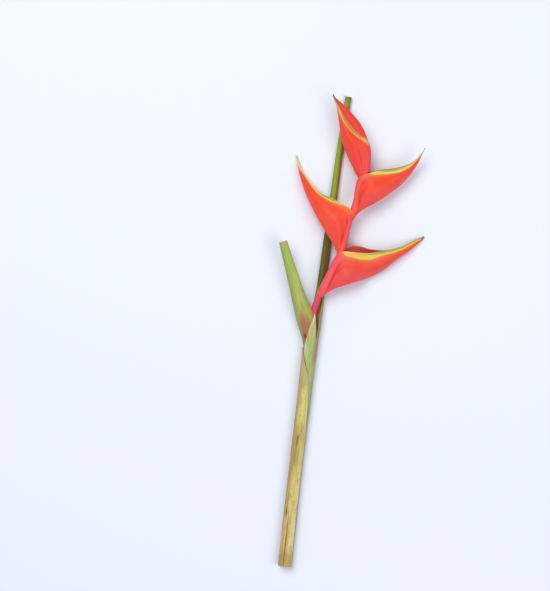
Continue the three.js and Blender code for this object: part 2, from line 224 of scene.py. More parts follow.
def markStem(piece, rows):
    # keeps where each point lies on its stem: across, along (in metres) and up, 1 being the surface
    steps = 500
    samples = [sectionFrame(rows, k / steps) for k in range(steps + 1)]
    middles, _, sides, ups, widths, depths = (np.array(list(part)) for part in zip(*samples))
    points = pointsOf(piece)
    nearest = [((middles - point) ** 2).sum(1).argmin() for point in points]
    away = points - middles[nearest]
    across = (away * sides[nearest]).sum(1) / widths[nearest]
    height = (away * ups[nearest]).sum(1) / depths[nearest]
    addValues(piece, "stemPlace", np.stack([across, points[:, 1] / 1000, height], 1))
    addValues(piece, "depthIn", np.clip(1 - np.hypot(across, height), 0, 1))


def shapeBlade(name, across, along, points, walls, marks):
    # a flat grid takes the points' places, and keeps the wall's share and the marks at each of them
    deselectAll()
    bpy.ops.mesh.primitive_grid_add(x_subdivisions=across, y_subdivisions=along, size=0.1)
    piece = bpy.context.object
    piece.name = piece.data.name = name
    for vert, point in zip(piece.data.vertices, points):
        vert.co = point
    for mark, values in marks.items():
        addValues(piece, mark, np.array(values))
    group = piece.vertex_groups.new(name="wall")
    for index, wall in enumerate(walls):
        group.add([index], wall, "REPLACE")
    return piece


def joinPieces(pieces):
    deselectAll()
    for piece in pieces:
        piece.select_set(True)
    bpy.context.view_layer.objects.active = pieces[0]
    bpy.ops.object.transform_apply(location=True, rotation=True, scale=True)
    bpy.ops.object.join()
    return pieces[0]


def finishPiece(piece, slot, *nodes, smoothAngle=50):
    pick(piece)
    bpy.ops.object.shade_smooth_by_angle(angle=math.radians(smoothAngle))
    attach(piece, "root")
    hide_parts(*nodes)


# helpers for materials


def rgb(text):
    # a colour as on a paint chart, made linear
    found = []
    for i in (0, 2, 4):
        value = int(text[i:i + 2], 16) / 255
        found.append(value / 12.92 if value <= 0.04045 else ((value + 0.055) / 1.055) ** 2.4)
    return (*found, 1.0)


class Wire:
    # the output of a node, with which a material can reckon as with a number
    def __init__(self, socket):
        self.socket = socket
        self.tree = socket.id_data

    def other(self, output):
        return Wire(self.socket.node.outputs[output])

    def __add__(self, value):
        return calculate("ADD", self, value)

    def __sub__(self, value):
        return calculate("SUBTRACT", self, value)

    def __rsub__(self, value):
        return calculate("SUBTRACT", value, self)

    def __mul__(self, value):
        return calculate("MULTIPLY", self, value)

    def __truediv__(self, value):
        return calculate("DIVIDE", self, value)


def feed(socket, value):
    if isinstance(value, Wire):
        value.tree.links.new(value.socket, socket)
    elif value is not None:
        socket.default_value = rgb(value) if isinstance(value, str) else value


def addNode(tree, kind, inputs, output=0, **settings):
    node = tree.nodes.new(kind)
    for name, value in settings.items():
        setattr(node, name, value)
    for name, value in inputs.items():
        feed(node.inputs[name], value)
    return Wire(node.outputs[output])


def calculate(operation, first, second=None):
    tree = (first if isinstance(first, Wire) else second).tree
    return addNode(tree, "ShaderNodeMath", {0: first, 1: second}, operation=operation)


def between(value, low, high, toLow=0.0, toHigh=1.0):
    # a smooth change from toLow to toHigh as the value goes from low to high
    inputs = {"Value": value, "From Min": low, "From Max": high, "To Min": toLow, "To Max": toHigh}
    return addNode(value.tree, "ShaderNodeMapRange", inputs, "Result", interpolation_type="SMOOTHSTEP")


def within(value, low, high, soft):
    return between(value, low - soft, low + soft) * between(value, high - soft, high + soft, 1.0, 0.0)


def blend(tree, mask, under, over):
    return addNode(tree, "ShaderNodeMix", {0: mask, 6: under, 7: over}, 2, data_type="RGBA")


def noiseAt(place, scale, detail=3.0, roughness=0.5):
    inputs = {"Vector": place, "Scale": scale, "Detail": detail, "Roughness": roughness}
    return addNode(place.tree, "ShaderNodeTexNoise", inputs, "Fac")


def stretched(place, by, shift=(0, 0, 0)):
    return addNode(place.tree, "ShaderNodeMapping", {"Vector": place, "Scale": by, "Location": shift})


def valueOf(tree, name, output="Vector"):
    return addNode(tree, "ShaderNodeAttribute", {}, output, attribute_name=name)


def partsOf(vector):
    x = addNode(vector.tree, "ShaderNodeSeparateXYZ", {0: vector})
    return x, x.other(1), x.other(2)


def objectPlace(tree):
    return addNode(tree, "ShaderNodeTexCoord", {}, "Object")


def newGroup(name, inputs, outputs=("Mask",)):
    # the inputs come with their usual values, and a place has none
    group = bpy.data.node_groups.new(name, "ShaderNodeTree")
    for label, value in inputs.items():
        kind = "NodeSocketVector" if value is None else "NodeSocketFloat"
        feed(group.interface.new_socket(name=label, in_out="INPUT", socket_type=kind), value)
    for label in outputs:
        group.interface.new_socket(name=label, in_out="OUTPUT", socket_type="NodeSocketFloat")
    given = group.nodes.new("NodeGroupInput").outputs
    return group, [Wire(given[label]) for label in inputs], group.nodes.new("NodeGroupOutput").inputs


def useGroup(tree, group, **values):
    return addNode(tree, "ShaderNodeGroup", values, node_tree=group)


def addFibres():
    # long fine veins that run along a leaf or a stalk
    group, (place,), out = newGroup("fibres", {"Place": None}, ["Mask", "Height"])
    height = noiseAt(place, 5.0, 2.0, 0.6) * 0.6 + noiseAt(place, 14.0, 2.0) * 0.4
    feed(out["Mask"], between(height, 0.36, 0.64))
    feed(out["Height"], height)
    return group


def addBlotches():
    # soft uneven patches, as cover goes from 0, none, to 1, all over
    inputs = {"Place": None, "Scale": 10.0, "Cover": 0.3, "Soft": 0.1}
    group, (place, scale, cover, soft), out = newGroup("blotches", inputs)
    level = 0.72 - cover * 0.44
    feed(out["Mask"], between(noiseAt(place, scale, 4.0, 0.55), level - soft, level + soft))
    return group


def addSpecks():
    # small scattered marks
    inputs = {"Place": None, "Scale": 200.0, "Size": 0.1, "Share": 0.3}
    group, (place, scale, size, share), out = newGroup("specks", inputs)
    distance = addNode(group, "ShaderNodeTexVoronoi", {"Vector": place, "Scale": scale}, "Distance")
    chance = addNode(group, "ShaderNodeSeparateColor", {0: distance.other("Color")})
    reach = size * (chance.other(1) + 0.3)
    dot = between(distance, reach * 0.5, reach, 1.0, 0.0)
    feed(out["Mask"], calculate("LESS_THAN", chance, share) * dot)
    return group


def addZone():
    # a soft-edged stretch of a stem: Low to High along it in millimetres, Left to Right across it
    labels = ["Along", "Across", "Low", "High", "Left", "Right"]
    group, (along, across, low, high, left, right), out = newGroup("zone", dict.fromkeys(labels, 0.0))
    feed(out["Mask"], within(along, low, high, 9.0) * within(across, left, right, 0.18))
    return group


def addSpot():
    # one mark at a chosen place, Wide being its half width across and Long its half length
    labels = ["Along", "Across", "AtAlong", "AtAcross", "Long", "Wide", "Rough"]
    group, given, out = newGroup("spot", dict.fromkeys(labels, 0.0))
    along, across, atAlong, atAcross, long, wide, rough = given
    away = (along - atAlong) / long
    aside = (across - atAcross) / wide
    far = calculate("SQRT", away * away + aside * aside)
    feed(out["Mask"], between(far + rough, 0.45, 1.1, 1.0, 0.0))
    return group


fibres = addFibres()
blotches = addBlotches()
specks = addSpecks()
zones = addZone()
spots = addSpot()


class Paint:
    # a material whose colour is laid on layer by layer, each under its mask
    def __init__(self, name, first, roughness, coat=0.15, specular=0.35):
        self.material = bpy.data.materials.new(name)
        self.material.use_nodes = True
        self.tree = self.material.node_tree
        self.tree.nodes.clear()
        self.skin = self.tree.nodes.new("ShaderNodeBsdfPrincipled")
        output = self.tree.nodes.new("ShaderNodeOutputMaterial")
        self.tree.links.new(self.skin.outputs["BSDF"], output.inputs["Surface"])
        self.put({"Roughness": roughness, "Coat Weight": coat, "Coat Roughness": 0.35})
        self.put({"IOR": 1.42, "Specular IOR Level": specular})
        self.colour = first

    def put(self, values):
        for name, value in values.items():
            feed(self.skin.inputs[name], value)

    def lay(self, tint, mask):
        self.colour = blend(self.tree, mask, self.colour, tint)

    def finish(self, height, strength, distance, roughness=None):
        inputs = {"Strength": strength, "Distance": distance, "Height": height}
        bump = addNode(self.tree, "ShaderNodeBump", inputs, "Normal")
        self.put({"Base Color": self.colour, "Normal": bump, "Roughness": roughness})
        return self.material


# bracts, folded like boats round the flower stalk

bractShape = {
    "stepsAlong": 110,
    "stepsToRim": 26,
    "wall": 1.3,
    "widestAt": 0.46,
    "bellyAt": 0.46,
    "tipHalfWidth": 1.5,
    "slit": 0.2,
    "baseFade": 0.1,
    "baseSwell": 0.32,
    "creaseWidth": 2.2,
    "foldWidth": 1.9,
    "ribs": 15,
    "ribHeight": 0.045,
    "dent": 0.3,
    "crumple": 0.14,
    "lowest": 0.3,
}

bracts = [
    {
        "name": "bract_1",
        "keel": [(10.9, 407.4), (15.8, 413.8), (22, 419.6), (31, 424.6), (42, 429.6), (54, 434.8),
                 (70, 441.8), (86, 450.4), (101, 462.2), (117, 478), (131, 490.4), (143, 502.4),
                 (153, 513.4)],
        "rim": [(-0.6, 411.8), (4.1, 423), (9.6, 437.4), (15.4, 453), (21.2, 469), (29.6, 479.4),
                (44, 484.6), (62, 483.6), (81, 481.6), (101, 486.4), (120, 496.4), (138.4, 508.6),
                (153.8, 517)],
        "rootZ": 21.4, "heelZ": 29.4, "tipZ": 1.9, "droop": 1.35, "roll": 22, "baseRadius": 4.95,
        "sheath": 5.8, "halfWidth": 14.5, "heel": 0.35, "mouth": 0.72, "crease": 2.2, "creaseAt": 2.45,
        "tipSwell": 0,
        "lifts": [(0.36, 0, 0), (0.44, -0.6, 2.4), (0.5, -3.2, 5), (0.55, -1.8, 6.6), (0.6, 0.8, 8),
                  (0.65, 5, 8), (0.7, 8.6, 7), (0.75, 7.6, 4.4), (0.8, 4.2, 0.6), (0.85, 1.8, -0.6),
                  (0.9, 1, -0.8), (0.96, 0.8, -0.6), (1, 0, 0)],
    },
    {
        "name": "bract_2",
        "keel": [(23.2, 475.6), (21.4, 481.6), (17.4, 488.4), (11.8, 495.8), (5, 504.4), (-1.7, 512.6),
                 (-9.5, 523.4), (-17, 535), (-25.5, 548.5), (-34.2, 564.5), (-41.6, 582), (-47.4, 599),
                 (-52.4, 614.6)],
        "rim": [(34.2, 471), (37, 485.6), (39.2, 500.4), (41, 514.6), (42.4, 527), (41.6, 538.2),
                (35.5, 545.6), (24, 550.8), (9, 557.2), (-8, 563.4), (-25, 577.6), (-40.4, 595.2),
                (-51.2, 617.4)],
        "rootZ": 29.5, "heelZ": 30.7, "tipZ": 1.5, "droop": 1.8, "roll": 4, "baseRadius": 5.5,
        "sheath": 6.0, "halfWidth": 13.2, "heel": 0.37, "mouth": 0.58, "crease": 1.2, "creaseAt": 1.7,
        "tipSwell": 0.25,
        "lifts": [(0, 0, 0), (1, 0, 0)],
    },
    {
        "name": "bract_3",
        "keel": [(44.8, 529.2), (50, 539), (56.6, 545.8), (64.5, 551.2), (73, 556.8), (82, 563.7),
                 (92, 572.4), (101.5, 581.3), (110.2, 590.4), (118.8, 601.8), (126.6, 616), (133, 632.2),
                 (138.2, 646.6)],
        "rim": [(34, 533.2), (37.4, 545), (39.8, 558), (40.4, 571), (41.2, 584.6), (45.4, 594.4),
                (55, 599.4), (66, 604), (80, 607.4), (95.5, 611.2), (112, 617.6), (126.6, 628.6),
                (139.6, 648.8)],
        "rootZ": 30.6, "heelZ": 31, "tipZ": 21, "droop": 1.5, "roll": 8, "baseRadius": 5.4,
        "sheath": 5.8, "halfWidth": 13, "heel": 0.37, "mouth": 0.58, "crease": 2, "creaseAt": 1.7,
        "tipSwell": 0.3,
        "lifts": [(0.37, 0, 0), (0.52, -0.6, 0.6), (0.62, 0, 1.8), (0.7, 0, 2.6), (0.84, 0, 2.4),
                  (0.95, 0, 0.4), (1, 0, 0)],
    },
    {
        "name": "bract_4",
        "keel": [(42.6, 590.6), (38.6, 596.8), (34.5, 604.6), (29.8, 611.8), (25, 619.6), (20.6, 627.3),
                 (16.6, 634.9), (12.8, 643.8), (9.9, 653), (7, 664.5), (3.5, 679), (-1.2, 695),
                 (-8.7, 711)],
        "rim": [(56.6, 590.4), (59.3, 601), (59.7, 611), (59.4, 622), (58.6, 632.6), (55.4, 641.8),
                (48.6, 648.8), (40.6, 653.6), (31.6, 659.6), (22.4, 668.4), (12.6, 681), (3, 696),
                (-7.2, 712.6)],
        "rootZ": 31, "heelZ": 31, "tipZ": 30, "droop": 1.4, "roll": -7, "baseRadius": 6.3,
        "sheath": 7.4, "halfWidth": 12.4, "heel": 0.37, "mouth": 0.62, "crease": 0, "creaseAt": 1.7,
        "tipSwell": 0.1,
        "lifts": [(0.37, 0, 0), (0.52, 1, -1), (0.75, 1, -1), (1, 0, 0)],
    },
    {
        "name": "bract_5",
        "keel": [(56.6, 605.6), (57, 614), (56.8, 624), (56, 634), (53.4, 645), (49, 655), (43.3, 665.2),
                 (33.3, 677.5), (20, 689.8), (6.6, 700.2), (-5.8, 708.4)],
        "rim": [(48.6, 606.6), (46.8, 616), (44.4, 625), (41, 634), (37, 641.6), (33, 649), (28, 656.6),
                (20.5, 668), (11.5, 681.4), (2.2, 695.2), (-4.8, 706.6)],
        "rootZ": 31, "heelZ": 31, "tipZ": 33.4, "droop": 1, "roll": 0, "baseRadius": 4.6,
        "sheath": 4.6, "halfWidth": 6.8, "heel": -1, "mouth": 0.2, "crease": 0, "creaseAt": 1.7,
        "tipSwell": 0,
        "lifts": [(0, 0, 0), (1, 0, 0)],
    },
]


def bractHalfWidth(bract, u):
    root = min(bract["sheath"], bract["halfWidth"])
    widestAt = bractShape["widestAt"]
    if u < widestAt:
        return root + (bract["halfWidth"] - root) * smooth(0.02, widestAt, u)
    past = (u - widestAt) / (1 - widestAt)
    return bractShape["tipHalfWidth"] + (bract["halfWidth"] - bractShape["tipHalfWidth"]) * (1 - past ** 1.6)


def bractFrame(bract, u):
    # keel point, way to the rim, way across, depth and half width of the section at a share of the length
    kx, ky = readRows(bract["keel"], u)
    rx, ry = readRows(bract["rim"], u)
    heel = max(bract["heel"], 0.05)
    rise = min(u / heel, 1) ** 0.75
    fall = max((u - heel) / (1 - heel), 0) ** bract["droop"]
    rimZ = bract["rootZ"] + (bract["heelZ"] - bract["rootZ"]) * rise + (bract["tipZ"] - bract["heelZ"]) * fall
    turned = smooth(heel + 0.02, heel + 0.26, u) * (1 - smooth(0.84, 1, u))
    roll = math.radians(bract["roll"]) * turned
    keel = Vector((kx, ky, rimZ - math.hypot(rx - kx, ry - ky) * math.tan(roll)))
    up = Vector((rx, ry, rimZ)) - keel
    depth = up.length
    up.normalize()
    across = Vector((0, 0, 1))
    across = (across - up * up.z).normalized()
    return keel, up, across, depth, min(bractHalfWidth(bract, u), 0.55 * depth + 0.4)


def sideAt(bract, u, distance, depth, halfWidth):
    # half the spread of a section: closed round the stalk below the heel, open like a boat beyond it
    widest = bractShape["bellyAt"] * depth
    rise = math.sin(math.pi / 2 * min(distance / widest, 1)) ** 0.85
    beyond = max((distance - widest) / (depth - widest), 0)
    mouth = mix(bract["mouth"], 0.15, smooth(0.7, 1, u))
    openSide = halfWidth * rise * (1 - (1 - mouth) * beyond ** 1.7)
    opened = smooth(bract["heel"] - 0.03, bract["heel"] + 0.13, u)
    if opened >= 1:
        return openSide
    swollen = 1 + bractShape["baseSwell"] * smooth(bract["heel"] - 0.12, bract["heel"] + 0.05, u)
    sheath = min(bract["sheath"] * swollen, depth / 2)
    fromRim = depth - distance
    drop = smooth(widest, max(depth - 2 * sheath, widest + 0.1), distance)
    closed = rise * (halfWidth + (sheath - halfWidth) * drop)
    creaseShare = smooth(2.6 * sheath, 4.2 * sheath, depth)
    fromCrease = (fromRim - bract["creaseAt"] * sheath) / bractShape["creaseWidth"]
    closed -= bract["crease"] * creaseShare * math.exp(-(fromCrease ** 2))
    if fromRim < sheath:
        closed = min(closed, math.sqrt(max(fromRim * (2 * sheath - fromRim), 0)))
    return mix(closed, openSide, opened)


def sectionSide(bract, u, depth, halfWidth):
    # points of one side, close together at the keel and at the rim
    count = bractShape["stepsToRim"]
    nearRim = [0, 0.12, 0.5, 1.1, 1.9, 2.9, 4, 5.2, 6.5, 8]
    reach = min(1, depth / 26)
    last = depth - 9.5 * reach
    below = count - len(nearRim)
    distances = [last * (k / below) ** 1.35 for k in range(below + 1)]
    distances += [depth - step * reach for step in reversed(nearRim)]
    sides = [max(sideAt(bract, u, d, depth, halfWidth), bractShape["slit"]) for d in distances[1:]]
    return list(zip(distances, [0.0, *sides]))


def rimAt(rows, u):
    # the widths and strengths of the coloured rim at a share of the length
    at, *columns = np.array(rows).T
    return [np.interp(u, at, column) for column in columns]


def liftAt(bract, u):
    # how far the near and the far margin stand beyond the rim line, smoothed along the length
    at, near, far = np.array(bract["lifts"]).T
    around = u + np.linspace(-0.03, 0.03, 9)
    return np.interp(around, at, near).mean(), np.interp(around, at, far).mean()


def buildBract(bract):
    # a flat blade is folded along its keel, and then given its thickness
    along, toRim, low = bractShape["stepsAlong"], bractShape["stepsToRim"], bractShape["lowest"]
    marks = {"leafPlace": [], "leafEdge": [], "rimWidths": [], "rimShares": [], "rimGlow": []}
    points, walls, outwards = [], [], []
    for row in range(along + 1):
        u = row / along
        keel, up, wide, depth, halfWidth = bractFrame(bract, u)
        side = sectionSide(bract, u, depth, halfWidth)
        near, far = liftAt(bract, u)
        lengths = [0.0]
        for (d0, h0), (d1, h1) in zip(side, side[1:]):
            lengths.append(lengths[-1] + math.hypot(d1 - d0, h1 - h0))
        wall = min(bractShape["wall"], 0.45 * halfWidth, 0.3 * depth) / bractShape["wall"]
        # the base narrows until it lies on the stalk
        middle = keel + up * (depth / 2)
        fit = mix(min(bract["baseRadius"] / (depth / 2), 1), 1, smooth(0, bractShape["baseFade"], u))
        fit *= 1 + bract["tipSwell"] * smooth(0.8, 0.95, u) * (1 - 0.6 * smooth(0.95, 1, u))
        edgeEnd, greenEnd, yellowEnd, glowEnd, *strengths = rimAt(bractFinish[bract["name"]]["rim"], u)
        for k in range(-toRim, toRim + 1):
            hand = 1 if k > 0 else -1
            d, h = side[abs(k)]
            fromKeel = lengths[abs(k)]
            reach = d * (1 + (near if hand > 0 else far) / depth)
            point = middle + (keel + up * reach + wide * (hand * h) - middle) * fit
            if point.z < low + 1.2:
                point.z = low + 0.6 * math.log1p(math.exp((point.z - low) / 0.6))
            points.append(place(*point))
            walls.append(wall)
            outwards.append(wide * hand)
            marks["leafPlace"].append((u, fromKeel / lengths[-1], hand))
            marks["leafEdge"].append((lengths[-1] - fromKeel, fromKeel, depth - d))
            marks["rimWidths"].append((edgeEnd, greenEnd, yellowEnd))
            marks["rimShares"].append(strengths)
            marks["rimGlow"].append(glowEnd)
    piece = shapeBlade(bract["name"] + "_skin", toRim * 2, along, points, walls, marks)
    facing = sum(face.normal.dot(outwards[i]) for face in piece.data.polygons for i in face.vertices)
    if facing < 0:
        piece.data.flip_normals()
    return piece


def thickenBract(piece, *materials):
    for material in materials:
        piece.data.materials.append(material)
    applyModifier(
        piece, "SOLIDIFY", thickness=bractShape["wall"] / 1000, offset=-1, vertex_group="wall",
        material_offset=1, material_offset_rim=0,
    )
    applyModifier(piece, "SUBSURF", levels=1, render_levels=1)


def ease(low, high, values):
    share = np.clip((values - low) / (high - low), 0, 1)
    return share * share * (3 - 2 * share)


def noiseOver(places, by, seed):
    x, y, z = by
    return np.array([noise.noise(Vector((a * x + seed, b * y, c * z + seed))) for a, b, c in places])


def reliefBract(piece, bract):
    # ribs along the blade and slow dents, pressed into the mesh itself
    mesh = piece.data
    points = readValues(mesh.vertices, "co")
    normals = readValues(mesh.vertices, "normal")
    places = readValues(mesh.attributes["leafPlace"].data, "vector")
    fromRim, fromKeel, belowRim = readValues(mesh.attributes["leafEdge"].data, "vector").T
    u, share, _ = places.T
    sheath, heel = bract["sheath"], bract["heel"]
    seed = bractFinish[bract["name"]]["seed"] * 7.3
    outwards = np.ones(len(points))
    for face in mesh.polygons:
        if face.material_index == 1:
            outwards[list(face.vertices)] = -1
    fade = ease(0.4, 4, fromRim) * ease(0, 4, fromKeel) * (1 - ease(0.86, 1, u)) * ease(0, 0.1, u)
    ribbed = np.cos(2 * np.pi * bractShape["ribs"] * share) * bractShape["ribHeight"]
    closed = 1 - ease(heel, heel + 0.15, u)
    crest = closed * (1 - ease(1.6 * sheath, 2.6 * sheath, fromRim))
    dents = bractShape["dent"] * noiseOver(places, (6, 2.6, 1.7), seed)
    crumple = bractShape["crumple"] * closed * noiseOver(places, (3, 16, 1), seed)
    height = (ribbed + (dents + crumple) * (1 - crest)) * fade * outwards
    points = points + normals * (height[:, None] / 1000)
    points[:, 2] = np.maximum(points[:, 2], 0.0001)
    mesh.vertices.foreach_set("co", points.astype(np.float32).ravel())
    mesh.update()
    # a mask along the crease, for a deeper red there that is partly painted shade in the crease
    fold = np.exp(-(((belowRim - bract["creaseAt"] * sheath) / bractShape["foldWidth"]) ** 2))
    fold *= 1 - ease(heel - 0.05, heel + 0.12, u)
    addValues(piece, "fold", fold * ease(0.06, 0.22, u) * (bract["crease"] > 0))


# the fold tint is a deeper red, partly the bract's own and partly painted shade in the crease
bractTints = {"fold": "c81c1c", "vein": "fb6a44", "mottle": "c81f2a", "bruise": "8c2a22", "rust": "7a5a2a"}

# The rim rows give, at a share of the length, how far from the rim the pale edge, partly a painted highlight,
# the green band, the yellow band and the orange glow reach, and then how strong the edge, the green and the
# yellow are.
# The lining tint on the inner faces is painted shade, a darker red, on bracts 2 to 5, and painted light, a
# paler red, inside bract 1's shaded mouth.
bractFinish = {
    "bract_1": {
        "body": "ee4a32", "high": "f8603a", "low": "f2525a", "base": "f25362", "lining": "ff8468",
        "seed": 1.0, "fold": 0.85, "edge": "f2b483", "green": "aaa442", "yellow": "e2c352",
        "glow": "f57e44", "liningEdgeAndHighlight": "eeb493", "liningGreen": 0.05, "liningYellow": "d2503f",
        "liningRim": 0.9, "tip": "958a42", "end": "6f6838", "tipFrom": 0.965, "tipTo": 0.995,
        "rim": [
            (0.3, 0.4, 0.6, 1.0, 5, 0, 0, 0), (0.415, 1, 1.4, 4, 8, 0, 0, 0),
            (0.45, 2.8, 3.2, 9, 18, 0.9, 0.1, 0.85), (0.48, 3.2, 3.8, 10, 19, 0.9, 0.15, 0.85),
            (0.53, 1.8, 3.8, 12.4, 20, 0.9, 0.7, 0.95), (0.6, 1.6, 3.8, 11.6, 18, 0.8, 0.75, 1),
            (0.65, 0.9, 3.8, 8.8, 15, 0.4, 0.85, 1), (0.7, 0.5, 4.1, 6.8, 12, 0.2, 1, 1),
            (0.75, 0.4, 3.5, 6, 10, 0.1, 1, 1), (0.8, 0.4, 3.1, 5.6, 9, 0.1, 1, 1),
            (0.9, 0.3, 2.7, 4.7, 7, 0.1, 1, 0.95), (1, 0.3, 2, 3.6, 5, 0.1, 1, 0.8),
        ],
    },
    "bract_2": {
        "body": "f04420", "high": "f86028", "low": "fa5039", "base": "ee4c54", "lining": "b53026",
        "seed": 2.0, "fold": 0.85, "edge": "f4d69a", "green": "a9ab42", "yellow": "eec452",
        "glow": "fb7a30", "liningEdgeAndHighlight": "e4b478", "liningGreen": 0.5, "liningYellow": "cc8c4c",
        "liningRim": 0.7, "tip": "e8d287", "end": "c2b86c", "tipFrom": 0.87, "tipTo": 0.95,
        "rim": [
            (0.3, 0.4, 0.5, 0.8, 5, 0, 0, 0), (0.42, 0.6, 0.8, 2, 10, 0.3, 0, 0.1),
            (0.52, 0.8, 1, 2.6, 16, 0.4, 0, 0.25), (0.58, 1.2, 1.6, 5, 18, 0.6, 0.1, 0.8),
            (0.64, 0.9, 6, 9.6, 18, 0.5, 1, 1), (0.71, 1, 6.2, 9.8, 15, 0.5, 1, 1),
            (0.76, 2.2, 4.4, 7.8, 12, 0.9, 0.5, 1), (0.85, 3.2, 3.6, 6.4, 9, 1, 0.1, 1),
            (1, 3, 3.4, 5.6, 6, 1, 0.2, 1),
        ],
    },
    "bract_3": {
        "body": "f04022", "high": "f8602c", "low": "f65254", "base": "f75450", "lining": "b83a2a",
        "seed": 3.0, "fold": 0.6, "edge": "f6cc90", "green": "a6a846", "yellow": "eccb68",
        "glow": "f98040", "liningEdgeAndHighlight": "f0a866", "liningGreen": 0.35, "liningYellow": "dcd68a",
        "liningRim": 0.95, "tip": "8a8048", "end": "5c5636", "tipFrom": 0.93, "tipTo": 0.985,
        "rim": [
            (0.3, 0.4, 0.5, 0.8, 4, 0, 0, 0), (0.5, 0.6, 0.8, 2, 10, 0.3, 0, 0),
            (0.56, 1.5, 1.8, 6.6, 15, 0.95, 0, 0.9), (0.6, 1.4, 2.8, 8, 16, 0.8, 0.25, 1),
            (0.66, 0.8, 5, 9.4, 15, 0.5, 0.85, 1), (0.74, 0.7, 5.2, 10, 14, 0.4, 0.9, 1),
            (0.82, 0.7, 3.6, 8, 11, 0.3, 0.6, 1), (0.9, 0.6, 2, 4.6, 6.5, 0.3, 0.4, 0.9),
            (1, 0.5, 2, 4, 5, 0.3, 0.6, 0.8),
        ],
    },
    "bract_4": {
        "body": "ec3a26", "high": "f0442a", "low": "f44842", "base": "ec464e", "lining": "c4392c",
        "seed": 4.0, "fold": 0, "edge": "d0a464", "green": "ba9444", "yellow": "e2aa60", "glow": "f27040",
        "liningEdgeAndHighlight": "d6864e", "liningGreen": 0.6, "liningYellow": "e4743c", "liningRim": 0.7,
        "tip": "a89050", "end": "6e5f3a", "tipFrom": 0.92, "tipTo": 0.975,
        "rim": [
            (0.3, 0.4, 0.5, 0.8, 3, 0, 0, 0), (0.4, 0.7, 1.4, 4, 9, 0.5, 0, 0.5),
            (0.5, 1, 2.6, 7.4, 10, 0.6, 0.3, 0.95), (0.58, 1.2, 6, 9, 11.5, 0.5, 0.9, 0.9),
            (0.7, 1.1, 7, 9.2, 11.5, 0.4, 1, 0.8), (0.8, 1.1, 7, 9.2, 11, 0.4, 1, 0.8),
            (0.88, 1.2, 3.8, 8.4, 10, 0.4, 0.8, 1), (1, 1, 3.2, 6.4, 8, 0.4, 0.8, 1),
        ],
    },
    "bract_5": {
        "body": "ec3a30", "high": "f04834", "low": "e83a38", "base": "e23e44", "lining": "b8322a",
        "seed": 5.0, "fold": 0, "edge": "d65638", "green": "c46a34", "yellow": "dd6434", "glow": "ee5030",
        "liningEdgeAndHighlight": "d6864e", "liningGreen": 0.5, "liningYellow": "d6703c", "liningRim": 0.5,
        "tip": "b0583a", "end": "6e4a34", "tipFrom": 0.9, "tipTo": 0.99,
        "rim": [(0, 0.5, 0.8, 1.4, 3, 0.6, 0, 0.5), (0.6, 0.5, 1, 2.2, 4, 0.6, 0.1, 0.7),
                (1, 0.5, 1, 2, 3, 0.6, 0.4, 0.8)],
    },
}


